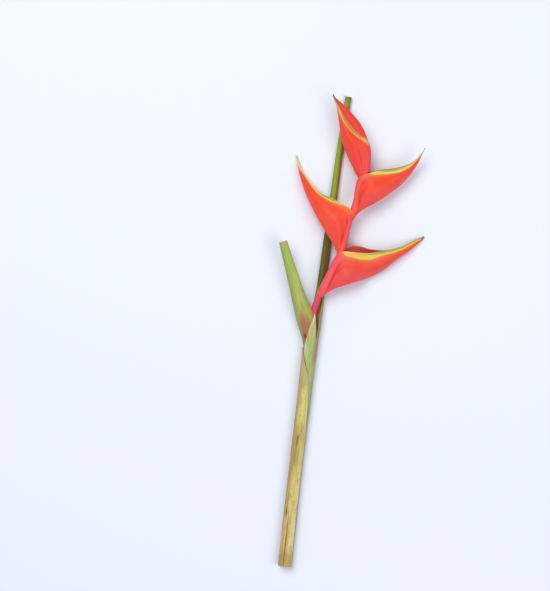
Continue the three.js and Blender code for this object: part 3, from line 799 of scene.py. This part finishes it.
def bractMaterial(bract, inside):
    finish = bractFinish[bract["name"]]
    name = bract["name"] + ("_lining" if inside else "_skin")
    paint = Paint(name, finish["low"], 0.46, coat=0.05)
    tree = paint.tree
    here = objectPlace(tree)
    u, share, hand = partsOf(valueOf(tree, "leafPlace"))
    fromRim = partsOf(valueOf(tree, "leafEdge"))[0]
    edgeEnd, greenEnd, yellowEnd = partsOf(valueOf(tree, "rimWidths"))
    edgeOn, greenOn, yellowOn = partsOf(valueOf(tree, "rimShares"))
    heel = max(bract["heel"], 0.0)
    seed = finish["seed"]
    veinPlace = addNode(tree, "ShaderNodeCombineXYZ", {0: share * 6.0, 1: u * 0.9, 2: hand * 0.4})
    veins = useGroup(tree, fibres, Place=stretched(veinPlace, (1, 1, 1), (seed, seed * 2, 0)))
    cloud = noiseAt(stretched(here, (1, 1, 1), (seed, 0, seed)), 22.0)
    # body: crimson at the keel, orange red near the rim, pink where it wraps the stalk
    tone = share + (cloud - 0.5) * 0.35
    paint.lay(finish["body"], between(tone, 0.08, 0.5))
    paint.lay(finish["high"], between(tone, 0.55, 1.0) * between(u, heel, heel + 0.2))
    onCrest = between(fromRim, 4.1 * bract["creaseAt"], 9.4 * bract["creaseAt"], 1.0, 0.3)
    paint.lay(finish["base"], between(u, heel - 0.08, heel + 0.2, 1.0, 0.0) * onCrest)
    # a deeper red along the crease: partly the bract's own red, partly painted shade in the crease
    paint.lay(bractTints["fold"], valueOf(tree, "fold", "Fac") * finish["fold"])
    paint.lay(bractTints["vein"], veins * 0.14)
    paint.lay(bractTints["mottle"], useGroup(tree, blotches, Place=here, Scale=60.0, Soft=0.12) * 0.16)
    # the inner faces take the lining tint: painted shade on most bracts, painted light inside bract 1
    if inside:
        paint.lay(finish["lining"], 0.75)
    # the rim, ragged by a fine noise: orange glow, yellow band, green band and a pale edge that is partly a
    # painted highlight along the rim's top
    ragged = fromRim + (noiseAt(stretched(veinPlace, (0.6, 9, 1)), 3.0) - 0.5) * 1.5
    glowOn = between(u, heel - 0.03, heel + 0.12) * (0.25 if inside else 0.75)
    glowEnd = valueOf(tree, "rimGlow", "Fac")
    paint.lay(finish["glow"], between(ragged, yellowEnd * 0.7, glowEnd, 1.0, 0.0) * glowOn)
    # the pale edge, outside and inside, is partly the rim's own pale margin and partly a painted highlight
    edge, yellow, strength = finish["edge"], finish["yellow"], 1.0
    if inside:
        edge, yellow, strength = finish["liningEdgeAndHighlight"], finish["liningYellow"], finish["liningRim"]
        greenOn = greenOn * finish["liningGreen"]
    for tint, end, on, before, beyond in (
        (yellow, yellowEnd, yellowOn, 1.6, 0.9),
        (finish["green"], greenEnd, greenOn, 0.9, 0.5),
        (edge, edgeEnd, edgeOn, 0.3, 0.3),
    ):
        paint.lay(tint, between(ragged, end - before, end + beyond, 1.0, 0.0) * on * strength)
    # the tip dries green and brown, and a few bruises show
    drying = u + (cloud - 0.5) * 0.06
    paint.lay(finish["tip"], between(drying, finish["tipFrom"], finish["tipTo"]))
    paint.lay(finish["end"], between(u, 0.975, 0.995))
    bruises = useGroup(tree, specks, Place=here, Scale=120.0, Size=0.12, Share=0.06)
    paint.lay(bractTints["bruise"], bruises * 0.35)
    rust = useGroup(tree, specks, Place=here, Scale=420.0, Size=0.3, Share=0.12)
    paint.lay(bractTints["rust"], rust * between(fromRim, 1.0, 3.5, 0.5, 0.0))
    return paint.finish(veins.other("Height"), 0.3, 0.0005, between(cloud, 0.3, 0.7, 0.4, 0.54))


for bract in bracts:
    piece = buildBract(bract)
    thickenBract(piece, bractMaterial(bract, False), bractMaterial(bract, True))
    reliefBract(piece, bract)
    finishPiece(piece, "bract", bract["name"], smoothAngle=60)
    print(piece.name, "folded", len(piece.data.polygons))

# flower stalk, leaves and old sheath, grown ring by ring

flowerStalk = {
    "sides": 40,
    "stepsPerRow": 5,
    "rows": [
        (0, 0, 9.8, 4, 4), (0, 170, 9.6, 4, 4), (0, 340, 9.9, 4.1, 4.1), (0, 368, 10.5, 4.4, 4.4),
        (0.4, 385, 12.4, 4.7, 4.6), (3, 402, 18.4, 4.8, 4.8), (8.6, 418.6, 23.8, 4, 4),
        (13, 431.6, 26, 3.4, 3.4), (18, 446.8, 27.6, 3.2, 3.2), (23.6, 461.8, 29, 3.3, 3.3),
        (28.6, 474, 29.6, 4.5, 4.5), (31.2, 488, 29.9, 3.9, 3.9), (33.4, 502, 30.1, 3.8, 3.8),
        (35.6, 516, 30.4, 3.8, 3.8), (39.2, 530.5, 30.7, 4.4, 4.4), (42.4, 540, 30.8, 3.7, 3.7),
        (45.6, 553, 31, 3.7, 3.7), (47.8, 568, 31, 3.6, 3.6), (49.6, 584, 31, 3.8, 3.8),
        (50.8, 591, 31, 4.4, 4.4), (51.6, 598, 31, 3.3, 3.3), (52.6, 604.5, 31, 3, 3),
    ],
}

longLeaf = {
    "sides": 96,
    "stepsPerRow": 14,
    "ribs": 26,
    "ribHeight": 0.14,
    "rows": [
        (0, 0, 9.7, 10.5, 9.9), (-0.3, 115, 9.4, 10.1, 9.6), (0, 190, 9.4, 10.2, 9.6),
        (0.6, 265, 9.6, 10.5, 9.8), (0.8, 305, 9.8, 10.8, 10), (1.4, 340, 9.9, 10.9, 10.2),
        (3.2, 366, 9.6, 10.1, 9.9), (4.8, 385, 8.7, 9, 9.1), (6.2, 402, 7.5, 7.8, 7.6),
        (7.3, 430, 6.6, 6.7, 6.7), (9, 495, 5.9, 6.2, 6), (11.2, 578, 5.3, 5.6, 5.4),
        (12.9, 646, 5, 5.2, 5.1), (16.3, 713, 4.7, 4.9, 4.8),
    ],
    # the mouth of the sheath seen from above: up the left to a pointed flap, into a notch, up the stalk
    "mouth": [(-40, 331), (-9.8, 336), (-7.8, 344), (-3.8, 361), (-0.6, 372), (1.6, 383), (4, 377),
              (6.2, 362), (8.4, 346), (8.9, 362), (9.2, 384), (10, 402), (12, 425), (14, 450),
              (-40, 450)],
    "mouthFloor": 9.5,
    "mouthRise": 0.075,
    "marginFloor": 6,
    "channel": [(1.5, 340, 10.5, 4.6, 5), (5.2, 362, 11.5, 4.6, 5.4), (6.9, 384, 12.2, 4.2, 5.2),
                (7.9, 402, 12.9, 3, 3.8), (8.4, 424, 13.6, 1.4, 2)],
}

shortLeaf = {
    "sides": 64,
    "stepsPerRow": 12,
    "ribs": 18,
    "ribHeight": 0.16,
    "rows": [
        (0, 0, 9.8, 6.2, 6.2), (0, 170, 9.6, 6.2, 6.2), (0, 308, 9.9, 6.3, 6.3),
        (-0.8, 326, 10.2, 7.4, 6.2), (-3.4, 346, 10.8, 9.9, 6), (-8.4, 366, 12.4, 13.2, 5.6),
        (-14.5, 381, 14.8, 13.2, 5.6), (-22.2, 398, 18.2, 11.4, 5.6), (-37.2, 434.6, 25, 8.7, 5.2),
        (-47.5, 459.6, 28.8, 7.4, 4.8), (-57.6, 484.7, 32, 6.3, 4.5),
    ],
}

oldSheath = {
    "stepsRound": 72, "stepsAlong": 150, "mmPerDegree": 0.18,
    "topRow": 4,  # the row of the long leaf that it reaches
    "top": 305, "topSlope": 9, "corner": 15, "cornerTurn": 25, "tipRise": 27, "tipFrom": 95,
    "tipAngle": 176, "tipTo": 232, "thickness": 1.8, "proud": 0.5, "marginThickness": 0.3,
    "edgeAngle": 34, "edgeTurn": 62, "backAngle": 296, "gap": 0.12,
    "dent": 0.25, "lowest": 0.05,
}


def sheathEdge(y):
    return oldSheath["edgeAngle"] + oldSheath["edgeTurn"] * min(max(y / oldSheath["top"], 0), 1) ** 4


def sheathTop(degrees):
    # slanted off at the free edge, up to a tip at the left and down to the back, a little torn
    edge = sheathEdge(oldSheath["top"])
    torn = 1.1 * noise.noise(Vector((degrees * 0.09, 3.3, 0)))
    torn += 0.5 * noise.noise(Vector((degrees * 0.31, 7.1, 0)))
    slanted = oldSheath["corner"] * (1 - smooth(edge - 30, edge + oldSheath["cornerTurn"], degrees))
    tip = smooth(oldSheath["tipFrom"], oldSheath["tipAngle"], degrees)
    tip *= 1 - smooth(oldSheath["tipAngle"], oldSheath["tipTo"], degrees)
    down = oldSheath["topSlope"] * smooth(edge + 60, oldSheath["backAngle"], degrees)
    return oldSheath["top"] - 1 - slanted + oldSheath["tipRise"] * tip - down + torn


def sheathThickness(degrees, y):
    # thin along the margins and full beyond
    free = smooth(0, 26, degrees - sheathEdge(y))
    back = smooth(0, 20, oldSheath["backAngle"] - degrees)
    top = smooth(0, 12, sheathTop(degrees) - y)
    return oldSheath["thickness"] * mix(oldSheath["marginThickness"], 1, min(free, back, top))


def underOldSheath(angle, y):
    # the stem steps in by the old sheath's thickness where that lies on it
    degrees = math.degrees(angle) % 360
    if y > sheathTop(degrees) + 1.5:
        return 0.0
    outside = max(sheathEdge(y) - 1 - degrees, degrees - oldSheath["backAngle"] - 1, 0)
    held = min(max(degrees, sheathEdge(y)), oldSheath["backAngle"])
    below = max(sheathThickness(held, y) - oldSheath["proud"] + oldSheath["gap"], 0)
    return -below * (1 - smooth(0, 3, outside))


def ribs(angle, y, stem):
    return stem["ribHeight"] * (math.cos(stem["ribs"] * angle + 0.4 * math.sin(y / 60)) - 1) / 2


def buildStalk():
    piece = growStem("flower_stalk_skin", flowerStalk)
    markStem(piece, flowerStalk["rows"])
    return piece


def buildShortLeaf():
    piece = growStem("short_leaf_skin", shortLeaf, reliefAt=lambda angle, y: ribs(angle, y, shortLeaf))
    cutAway(piece, roomFor(flowerStalk, 32, 3))
    drillChannels(piece)
    markStem(piece, shortLeaf["rows"])
    return piece


def mouthCutter():
    # a prism over the mouth, its floor rising towards the flower
    outline = longLeaf["mouth"]
    rings = []
    for floor in (longLeaf["mouthFloor"], longLeaf["mouthFloor"] + 60):
        rings.append([place(x, y, floor + longLeaf["mouthRise"] * (y - outline[1][1])) for x, y in outline])
    return growRings("mouth_cutter", rings)


def longLeafRelief(angle, y):
    return underOldSheath(angle, y) + ribs(angle, y, longLeaf)


def buildLongLeaf():
    piece = growStem("long_leaf_skin", longLeaf, reliefAt=longLeafRelief)
    cutAway(piece, roomFor(shortLeaf, 48, 7))
    cutAway(piece, roomFor(flowerStalk, 32, 3))
    cutAway(piece, growRings("channel", stemRings(longLeaf["channel"], 32, 6)))
    cutAway(piece, mouthCutter())
    drillChannels(piece)
    markStem(piece, longLeaf["rows"])
    markMargins(piece)
    return piece


def buildOldSheath():
    # a flat strip is wrapped round the left of the stem, from its free edge to the back
    across, along = oldSheath["stepsRound"], oldSheath["stepsAlong"]
    topShare = oldSheath["topRow"] / (len(longLeaf["rows"]) - 1)
    points, walls, margins = [], [], []
    for row in range(along + 1):
        for k in range(across + 1):
            # the free edge and the top depend on each other
            y = oldSheath["top"] * row / along
            for _ in range(3):
                degrees = mix(sheathEdge(y), oldSheath["backAngle"], k / across)
                y = sheathTop(degrees) * row / along
            x, _, z, halfWidth, halfDepth = readRows(longLeaf["rows"], (y / oldSheath["top"]) * topShare)
            angle = math.radians(degrees)
            thickness = sheathThickness(degrees, y)
            dents = oldSheath["dent"] * noise.noise(Vector((degrees * 0.045, y * 0.018, 5)))
            relief = ribs(angle, y, longLeaf) + dents + min(oldSheath["proud"], thickness)
            height = z + math.sin(angle) * (halfDepth + relief)
            aside = x + math.cos(angle) * (halfWidth + relief)
            points.append(place(aside, y, max(height, oldSheath["lowest"])))
            walls.append(thickness / oldSheath["thickness"])
            fromEdge = abs(degrees - sheathEdge(y)) * oldSheath["mmPerDegree"]
            margins.append((fromEdge, sheathTop(degrees) - y, 0))
    piece = shapeBlade("old_sheath_skin", across, along, points, walls, {"margin": margins})
    if piece.data.polygons[along // 2 * across + across // 2].normal.x > 0:
        piece.data.flip_normals()
    applyModifier(piece, "SOLIDIFY", thickness=oldSheath["thickness"] / 1000, offset=-1, vertex_group="wall")
    drillChannels(piece)
    markStem(piece, longLeaf["rows"])
    return piece


def awayFrom(points, line):
    # how far each point lies from a bent line, seen from above
    nearest = np.full(len(points), farAway)
    for start, stop in zip(line, line[1:]):
        run = np.array(stop) - start
        away = points[:, :2] - start
        share = np.clip((away @ run) / (run @ run), 0, 1)
        nearest = np.minimum(nearest, np.hypot(*(away - share[:, None] * run).T))
    return nearest


def markMargins(piece):
    # keeps how far each point is from the left and from the right margin of the mouth
    points = pointsOf(piece)
    outline = longLeaf["mouth"]
    left, right = awayFrom(points, outline[1:6]), awayFrom(points, outline[8:14])
    margins = np.stack([left, right, np.zeros(len(points))], 1)
    margins[points[:, 2] < longLeaf["marginFloor"], :2] = farAway
    addValues(piece, "margin", margins)


def stemMaterial(name, finish):
    paint = Paint(name, finish["left"], 0.5, coat=0.02, specular=0.16)
    tree = paint.tree
    stem = valueOf(tree, "stemPlace")
    across, along, height = partsOf(stem)
    veins = useGroup(tree, fibres, Place=stretched(stem, (3.0, 4.0, 3.0)))
    cloud = noiseAt(stretched(stem, (0.8, 18.0, 0.8)), 2.2, 4.0)
    streaks = noiseAt(stretched(stem, (3.4, 9.0, 3.4)), 1.6, 4.0, 0.6)
    wander = cloud - 0.5
    rough = (streaks - 0.5) * 1.6
    alongMm = along * 1000.0
    lengthways = alongMm + wander * 36.0
    sideways = across + wander * 0.45
    paint.lay(finish["middle"], between(sideways, -0.8, -0.05))
    paint.lay(finish["right"], between(sideways, 0.05, 0.8))
    for low, high, left, right, tint, strength in finish["zones"]:
        limits = {"Low": low, "High": high, "Left": left, "Right": right}
        paint.lay(tint, useGroup(tree, zones, Along=lengthways, Across=sideways, **limits) * strength)
    patchPlace = stretched(stem, (1.0, 30.0, 1.0))
    patches = useGroup(tree, blotches, Place=patchPlace, Scale=1.5, Cover=finish["blotchCover"], Soft=0.06)
    paint.lay(finish["blotch"], patches * 0.4)
    paint.lay(finish["streak"], between(streaks, 0.52, 0.7) * 0.4)
    paint.lay(finish["blotch"], between(streaks, 0.48, 0.34) * 0.35)
    paint.lay(finish["vein"], veins * 0.16)
    upper = calculate("GREATER_THAN", height, 0.0)
    for atAcross, atAlong, wide, long, tint, strength in finish["spots"]:
        limits = {"AtAlong": atAlong, "AtAcross": atAcross, "Long": long, "Wide": wide}
        spot = useGroup(tree, spots, Along=alongMm, Across=across, Rough=rough, **limits)
        paint.lay(tint, spot * upper * strength)
    frecklePlace = stretched(stem, (10.0, 330.0, 10.0))
    freckles = useGroup(tree, specks, Place=frecklePlace, Scale=0.8, Size=0.45, Share=finish["freckled"])
    paint.lay(finish["blotch"], freckles * 0.45)
    marks = useGroup(tree, specks, Place=stretched(stem, (8.0, 500.0, 8.0)), Scale=0.8, Size=0.35, Share=0.18)
    paint.lay(finish["mark"], marks * 0.4)
    margin = partsOf(valueOf(tree, "margin"))
    for which, reach, tint, strength in finish["margins"]:
        paint.lay(tint, between(margin[which] + wander * 1.2, reach * 0.35, reach, 1.0, 0.0) * strength)
    # the inner walls are paler
    inner = blend(tree, veins, finish["inside"], finish["insideDark"])
    paint.lay(inner, between(valueOf(tree, "depthIn", "Fac"), 0.05, 0.14))
    return paint.finish(veins.other("Height"), 0.4, 0.0005, between(cloud, 0.3, 0.7, 0.42, 0.58))


# Zones run from, to (mm along), left, right (-1 to 1 across), tint and strength.
# Spots stand at across, along, with a half width and a half length, tint and strength.
stemFinish = {
    "old_sheath_skin": {
        "left": "bb9a64", "middle": "c6b868", "right": "cfc585",
        "zones": [
            (-40, 75, -1.4, -0.25, "dab078", 0.75), (15, 125, 0.15, 1.6, "e2d09c", 0.85),
            (78, 135, -0.55, 0.7, "dcc474", 0.7), (148, 208, -0.75, 0.15, "a8934a", 0.6),
            (222, 268, -0.6, 0.6, "d2cf74", 0.75), (258, 350, -1.5, -0.6, "cda382", 0.8),
            (272, 330, -0.25, 1.5, "a3a76a", 0.8), (-40, 22, -1.5, 1.5, "a07c44", 0.65),
        ],
        "spots": [
            (-0.3, 34, 0.1, 44, "866432", 0.85), (-0.7, 82, 0.12, 9, "76521f", 0.85),
            (-0.64, 100, 0.07, 16, "94743c", 0.6), (-0.4, 166, 0.24, 15, "94803a", 0.6),
            (-0.26, 189, 0.2, 11, "857232", 0.8), (-0.2, 195, 0.1, 4, "4f451c", 0.85),
            (0.05, 172, 0.1, 10, "9c8c44", 0.6), (0.35, 60, 0.06, 26, "b39a62", 0.6),
            (0.42, 28, 0.07, 22, "a8875a", 0.6), (0.1, 118, 0.05, 18, "a8904c", 0.6),
            (-0.05, 268, 0.08, 12, "a89a5c", 0.5),
        ],
        "margins": [(0, 1.5, "cfc48e", 0.5), (1, 16.0, "b4a878", 0.5), (1, 2.8, "5c4528", 0.9)],
        "blotch": "9a7c3e", "blotchCover": 0.38, "freckled": 0.4, "streak": "dccf94", "vein": "ddd2a0",
        "mark": "6d5428", "inside": "cdbf8c", "insideDark": "a8935c",
    },
    "long_leaf_skin": {
        "left": "b2ba76", "middle": "a8b068", "right": "a7a27c",
        "zones": [
            (284, 346, -0.6, 0.55, "a6b866", 0.7), (345, 392, -1.5, 0.45, "bcb27c", 0.7),
            (312, 412, 0.5, 1.6, "a4866a", 0.9), (200, 300, 0.5, 1.6, "b0ac86", 0.6),
            # from 424 to about 520 mm the stalk is painted dark brown: partly its own olive brown, partly
            # painted shade from the bracts round it
            (402, 780, -1.5, 1.5, "767c10", 0.92), (424, 512, -1.5, 1.5, "46340a", 0.95),
            # up the stalk the left side is painted lighter green and the right side darker brown: painted
            # light and shade across it, over some real brown on the right
            (424, 520, 0.35, 1.5, "683410", 0.75), (524, 655, -1.5, 0.0, "8fa32a", 0.95),
            (524, 690, 0.4, 1.5, "7e5416", 0.85), (655, 780, -1.5, 0.2, "a2a63a", 0.85),
            (672, 780, 0.0, 1.5, "9c6f34", 0.8), (709, 780, -1.5, 1.5, "6b5432", 0.8),
        ],
        "spots": [
            (0.2, 560, 0.12, 30, "a2b040", 0.5), (0.5, 610, 0.1, 34, "744418", 0.6),
            (-0.2, 470, 0.14, 22, "6e5a18", 0.5), (0.15, 300, 0.07, 18, "8c9650", 0.6),
            (-0.35, 322, 0.1, 16, "d2d2a4", 0.6), (0.1, 352, 0.06, 16, "cfc78e", 0.5),
            (0.75, 230, 0.1, 20, "8f8f6a", 0.5), (0.8, 60, 0.1, 30, "8c8450", 0.5),
            (-0.66, 328, 0.2, 14, "ced0b0", 0.7),
        ],
        "margins": [(0, 3.6, "d6c6a2", 0.85), (1, 1.5, "8c6446", 0.7)],
        "blotch": "7c7638", "blotchCover": 0.22, "freckled": 0.2, "streak": "a8ac50", "vein": "b0b460",
        "mark": "6c5630", "inside": "b89f6c", "insideDark": "94794a",
    },
    "short_leaf_skin": {
        "left": "989a58", "middle": "9fb350", "right": "a8a255",
        "zones": [
            (436, 476, -0.45, 0.6, "93b244", 0.75), (404, 440, 0.0, 0.75, "adbd5e", 0.6),
            (482, 540, -1.5, 1.5, "b89a62", 0.5), (338, 378, -0.6, 0.6, "a8604a", 0.9),
            (330, 366, -1.5, 0.35, "a04c42", 0.8), (373, 424, 0.62, 1.6, "96a44e", 0.9),
            (340, 400, -1.6, -0.75, "929e68", 0.8), (388, 410, -0.25, 0.35, "bab072", 0.6),
        ],
        "spots": [
            (0.1, 388, 0.3, 12, "b87a56", 0.45), (-0.05, 458, 0.08, 12, "b0c070", 0.6),
            (-0.5, 425, 0.07, 26, "8c9a58", 0.6), (0.62, 440, 0.06, 30, "b9ae6c", 0.6),
            (-0.4, 346, 0.3, 7, "86303c", 0.85), (0.98, 384, 0.12, 16, "cba57c", 0.8),
        ],
        "margins": [],
        "blotch": "84984e", "blotchCover": 0.22, "freckled": 0.15, "streak": "bccb78", "vein": "c0d084",
        "mark": "7c7c40", "inside": "d0bd8c", "insideDark": "b09a68",
    },
    "flower_stalk_skin": {
        # the middle is painted a little lighter than both sides: a painted highlight along the stalk
        "left": "d8435a", "middle": "e04c60", "right": "d8435a",
        "zones": [(-40, 350, -1.5, 1.5, "d2907a", 0.6), (380, 425, -1.5, 1.5, "ea4b62", 0.7)],
        "spots": [],
        "margins": [],
        "blotch": "d63a4c", "blotchCover": 0.2, "freckled": 0.1, "streak": "ee6a74", "vein": "e66a74",
        "mark": "a02530", "inside": "e2bd9c", "insideDark": "b47c5c",
    },
}

# The cut end shows pale flesh with a ring of air channels in each leaf.
cutFlesh = {
    "channelDepth": 4.0, "channelSides": 10,
    "leaf": "ddd2a6", "stalk": "ecd9bd", "stain": "b08c58", "dots": "9c8350",
    "channels": {
        "old_sheath_skin": {"from": 54, "to": 288, "step": 9.5, "radius": 0.26},
        "long_leaf_skin": {"from": 0, "to": 354, "step": 11.0, "radius": 0.4},
        "short_leaf_skin": {"from": 5, "to": 359, "step": 20.0, "radius": 0.38},
    },
}


def channelPlaces(name):
    # the middles of the air channels round the cut end, halfway through the leaf's wall
    if name not in cutFlesh["channels"]:
        return []
    channels = cutFlesh["channels"][name]
    leaf = shortLeaf if name == "short_leaf_skin" else longLeaf
    _, _, middleZ, halfWidth, halfDepth = leaf["rows"][0]
    places = []
    for degrees in np.arange(channels["from"], channels["to"], channels["step"]):
        angle = math.radians(degrees)
        inner, outer = {
            "old_sheath_skin": (oldSheath["proud"] - oldSheath["thickness"], oldSheath["proud"]),
            "long_leaf_skin": (shortLeaf["rows"][0][3] + gap - halfWidth, underOldSheath(angle, 0)),
            "short_leaf_skin": (flowerStalk["rows"][0][3] + gap - halfWidth, 0.0),
        }[name]
        inset = (inner + outer) / 2
        z = middleZ + math.sin(angle) * (halfDepth + inset)
        places.append((math.cos(angle) * (halfWidth + inset), z))
    return places


def drillChannels(piece):
    deselectAll()
    bpy.ops.mesh.primitive_cylinder_add(
        vertices=cutFlesh["channelSides"], radius=cutFlesh["channels"][piece.name]["radius"] / 1000,
        depth=cutFlesh["channelDepth"] * 2 / 1000, rotation=(math.pi / 2, 0, 0), location=(0, 0, 0),
    )
    first = bpy.context.object
    bpy.ops.object.transform_apply(location=True, rotation=True, scale=True)
    drills = []
    for x, z in channelPlaces(piece.name):
        drill = first
        if drills:
            drill = first.copy()
            drill.data = first.data.copy()
            bpy.context.scene.collection.objects.link(drill)
        drill.location = place(x, 0, z)
        drills.append(drill)
    cutAway(piece, joinPieces(drills))


def fleshMaterial(name, colour, dotScale):
    paint = Paint(name, colour, 0.6, coat=0.0)
    here = objectPlace(paint.tree)
    dots = useGroup(paint.tree, specks, Place=here, Scale=dotScale, Size=0.26, Share=0.7)
    paint.lay(cutFlesh["stain"], useGroup(paint.tree, blotches, Place=here, Scale=240.0, Cover=0.35) * 0.35)
    paint.lay(cutFlesh["dots"], dots * 0.5)
    return paint.finish(dots, 0.3, 0.0003)


def dressCutEnds(piece, flesh, top):
    # the end faces and the channels take the flesh's material
    piece.data.materials.append(flesh)
    holes = channelPlaces(piece.name)
    reach = cutFlesh["channels"][piece.name]["radius"] * 1.3 if holes else 0
    for face in piece.data.polygons:
        x, y, z = face.center * 1000 - Vector((cutEnd["x"], cutEnd["y"], 0))
        atEnd = (y < 0.3 or y > top - 0.6) and abs(face.normal.y) > 0.85
        inHole = any(math.hypot(x - hx, z - hz) < reach for hx, hz in holes)
        if atEnd or (inHole and y < cutFlesh["channelDepth"] + 0.1):
            face.material_index = 1


leafFlesh = fleshMaterial("leaf_flesh", cutFlesh["leaf"], 900.0)
stalkFlesh = fleshMaterial("stalk_flesh", cutFlesh["stalk"], 700.0)

for name, build, flesh, top in (
    ("flower_stalk", buildStalk, stalkFlesh, math.inf),
    ("short_leaf", buildShortLeaf, leafFlesh, 484),
    ("long_leaf", buildLongLeaf, leafFlesh, 713),
    ("old_sheath", buildOldSheath, leafFlesh, math.inf),
):
    piece = build()
    piece.data.materials.clear()
    piece.data.materials.append(stemMaterial(piece.name, stemFinish[piece.name]))
    dressCutEnds(piece, flesh, top)
    finishPiece(piece, name, name)
    print(piece.name, "grown", len(piece.data.polygons))

# young flowers inside the lower bracts

flowerBunches = [
    {"name": "flowers_1", "bract": 0, "count": 7, "reach": 0.76},
    {"name": "flowers_2", "bract": 1, "count": 6, "reach": 0.74},
    {"name": "flowers_3", "bract": 2, "count": 6, "reach": 0.74},
]
bud = {
    "halfWidth": 2.9, "sides": 20, "stepsPerRow": 4, "ridges": 0.18,
    "shape": [(0, 0.5), (0.2, 0.75), (0.5, 1), (0.78, 0.9), (0.93, 0.6), (1, 0.22)],
    "pale": "dfe2ac", "green": "b9cc74", "streak": "f1efc8",
    # where the first bud's root and tip lie in the bract: along it, up it and mm aside
    "root": (0.36, 0.42, 0.9), "rootShift": (0.03, -0.05, 0.0),
    "tip": (0.47, 0.0, 2.2), "tipShift": (0.19, -0.16, 1.2),
}


def insideBract(bract, end, share, raised, hand):
    u, t, aside = (start + shift * share for start, shift in zip(bud[end], bud[end + "Shift"]))
    keel, up, across, depth, _ = bractFrame(bract, u)
    return keel + up * ((raised + t) * depth) + across * (aside * hand)


def ridged(angle, _):
    return bud["ridges"] * (math.cos(3 * angle) - 1)


def buildBunch(bunch):
    bract = bracts[bunch["bract"]]
    buds = []
    for i in range(bunch["count"]):
        share = i / (bunch["count"] - 1)
        hand = 1 if i % 2 else -1
        root = insideBract(bract, "root", share, 0.0, hand)
        tip = insideBract(bract, "tip", share, bunch["reach"], hand)
        sizes = [(at, bud["halfWidth"] * size) for at, size in bud["shape"]]
        rows = [(*root.lerp(tip, at), size, size) for at, size in sizes]
        buds.append(growStem("bud", {**bud, "rows": rows}, reliefAt=ridged))
    piece = joinPieces(buds)
    piece.name = piece.data.name = bunch["name"] + "_buds"
    return piece


def budMaterial():
    paint = Paint("young_flowers", bud["pale"], 0.45)
    here = objectPlace(paint.tree)
    streaks = noiseAt(stretched(here, (3, 3, 1)), 160.0, 2.0)
    paint.lay(bud["green"], between(noiseAt(here, 90.0), 0.35, 0.65))
    paint.lay(bud["streak"], between(streaks, 0.45, 0.7) * 0.4)
    return paint.finish(streaks, 0.3, 0.0004)


youngFlowers = budMaterial()
for bunch in flowerBunches:
    piece = buildBunch(bunch)
    piece.data.materials.clear()
    piece.data.materials.append(youngFlowers)
    finishPiece(piece, "flower", bunch["name"])
    print(piece.name, "bunched")

# floor and light

studio = {
    "floorSize": 30.0, "floor": "e9edf6", "world": "eef3ff", "worldStrength": 0.42,
    "lamps": [
        {"name": "key", "spot": (-1.1, 1.2, 3.0), "size": 2.2, "power": 66},
        {"name": "fill", "spot": (1.5, -0.6, 2.6), "size": 2.2, "power": 32},
    ],
}


def addFloor():
    deselectAll()
    bpy.ops.mesh.primitive_plane_add(size=studio["floorSize"], location=(0, 0, 0))
    floor = bpy.context.object
    floor.name = "floor"
    paint = Paint("floor", studio["floor"], 0.8, coat=0.0)
    paint.put({"Base Color": paint.colour})
    floor.data.materials.append(paint.material)


def addLamp(lamp):
    data = bpy.data.lights.new(lamp["name"], "AREA")
    data.shape = "DISK"
    data.size = lamp["size"]
    data.energy = lamp["power"]
    light = bpy.data.objects.new(lamp["name"], data)
    bpy.context.scene.collection.objects.link(light)
    light.location = lamp["spot"]
    light.rotation_euler = (-Vector(lamp["spot"])).to_track_quat("-Z", "Y").to_euler()


addFloor()
for lamp in studio["lamps"]:
    addLamp(lamp)
world = bpy.data.worlds.new("studio")
world.use_nodes = True
sky = world.node_tree.nodes["Background"].inputs
feed(sky["Color"], studio["world"])
feed(sky["Strength"], studio["worldStrength"])
bpy.context.scene.world = world
bpy.context.scene.view_settings.view_transform = "Standard"
print("studio lit")
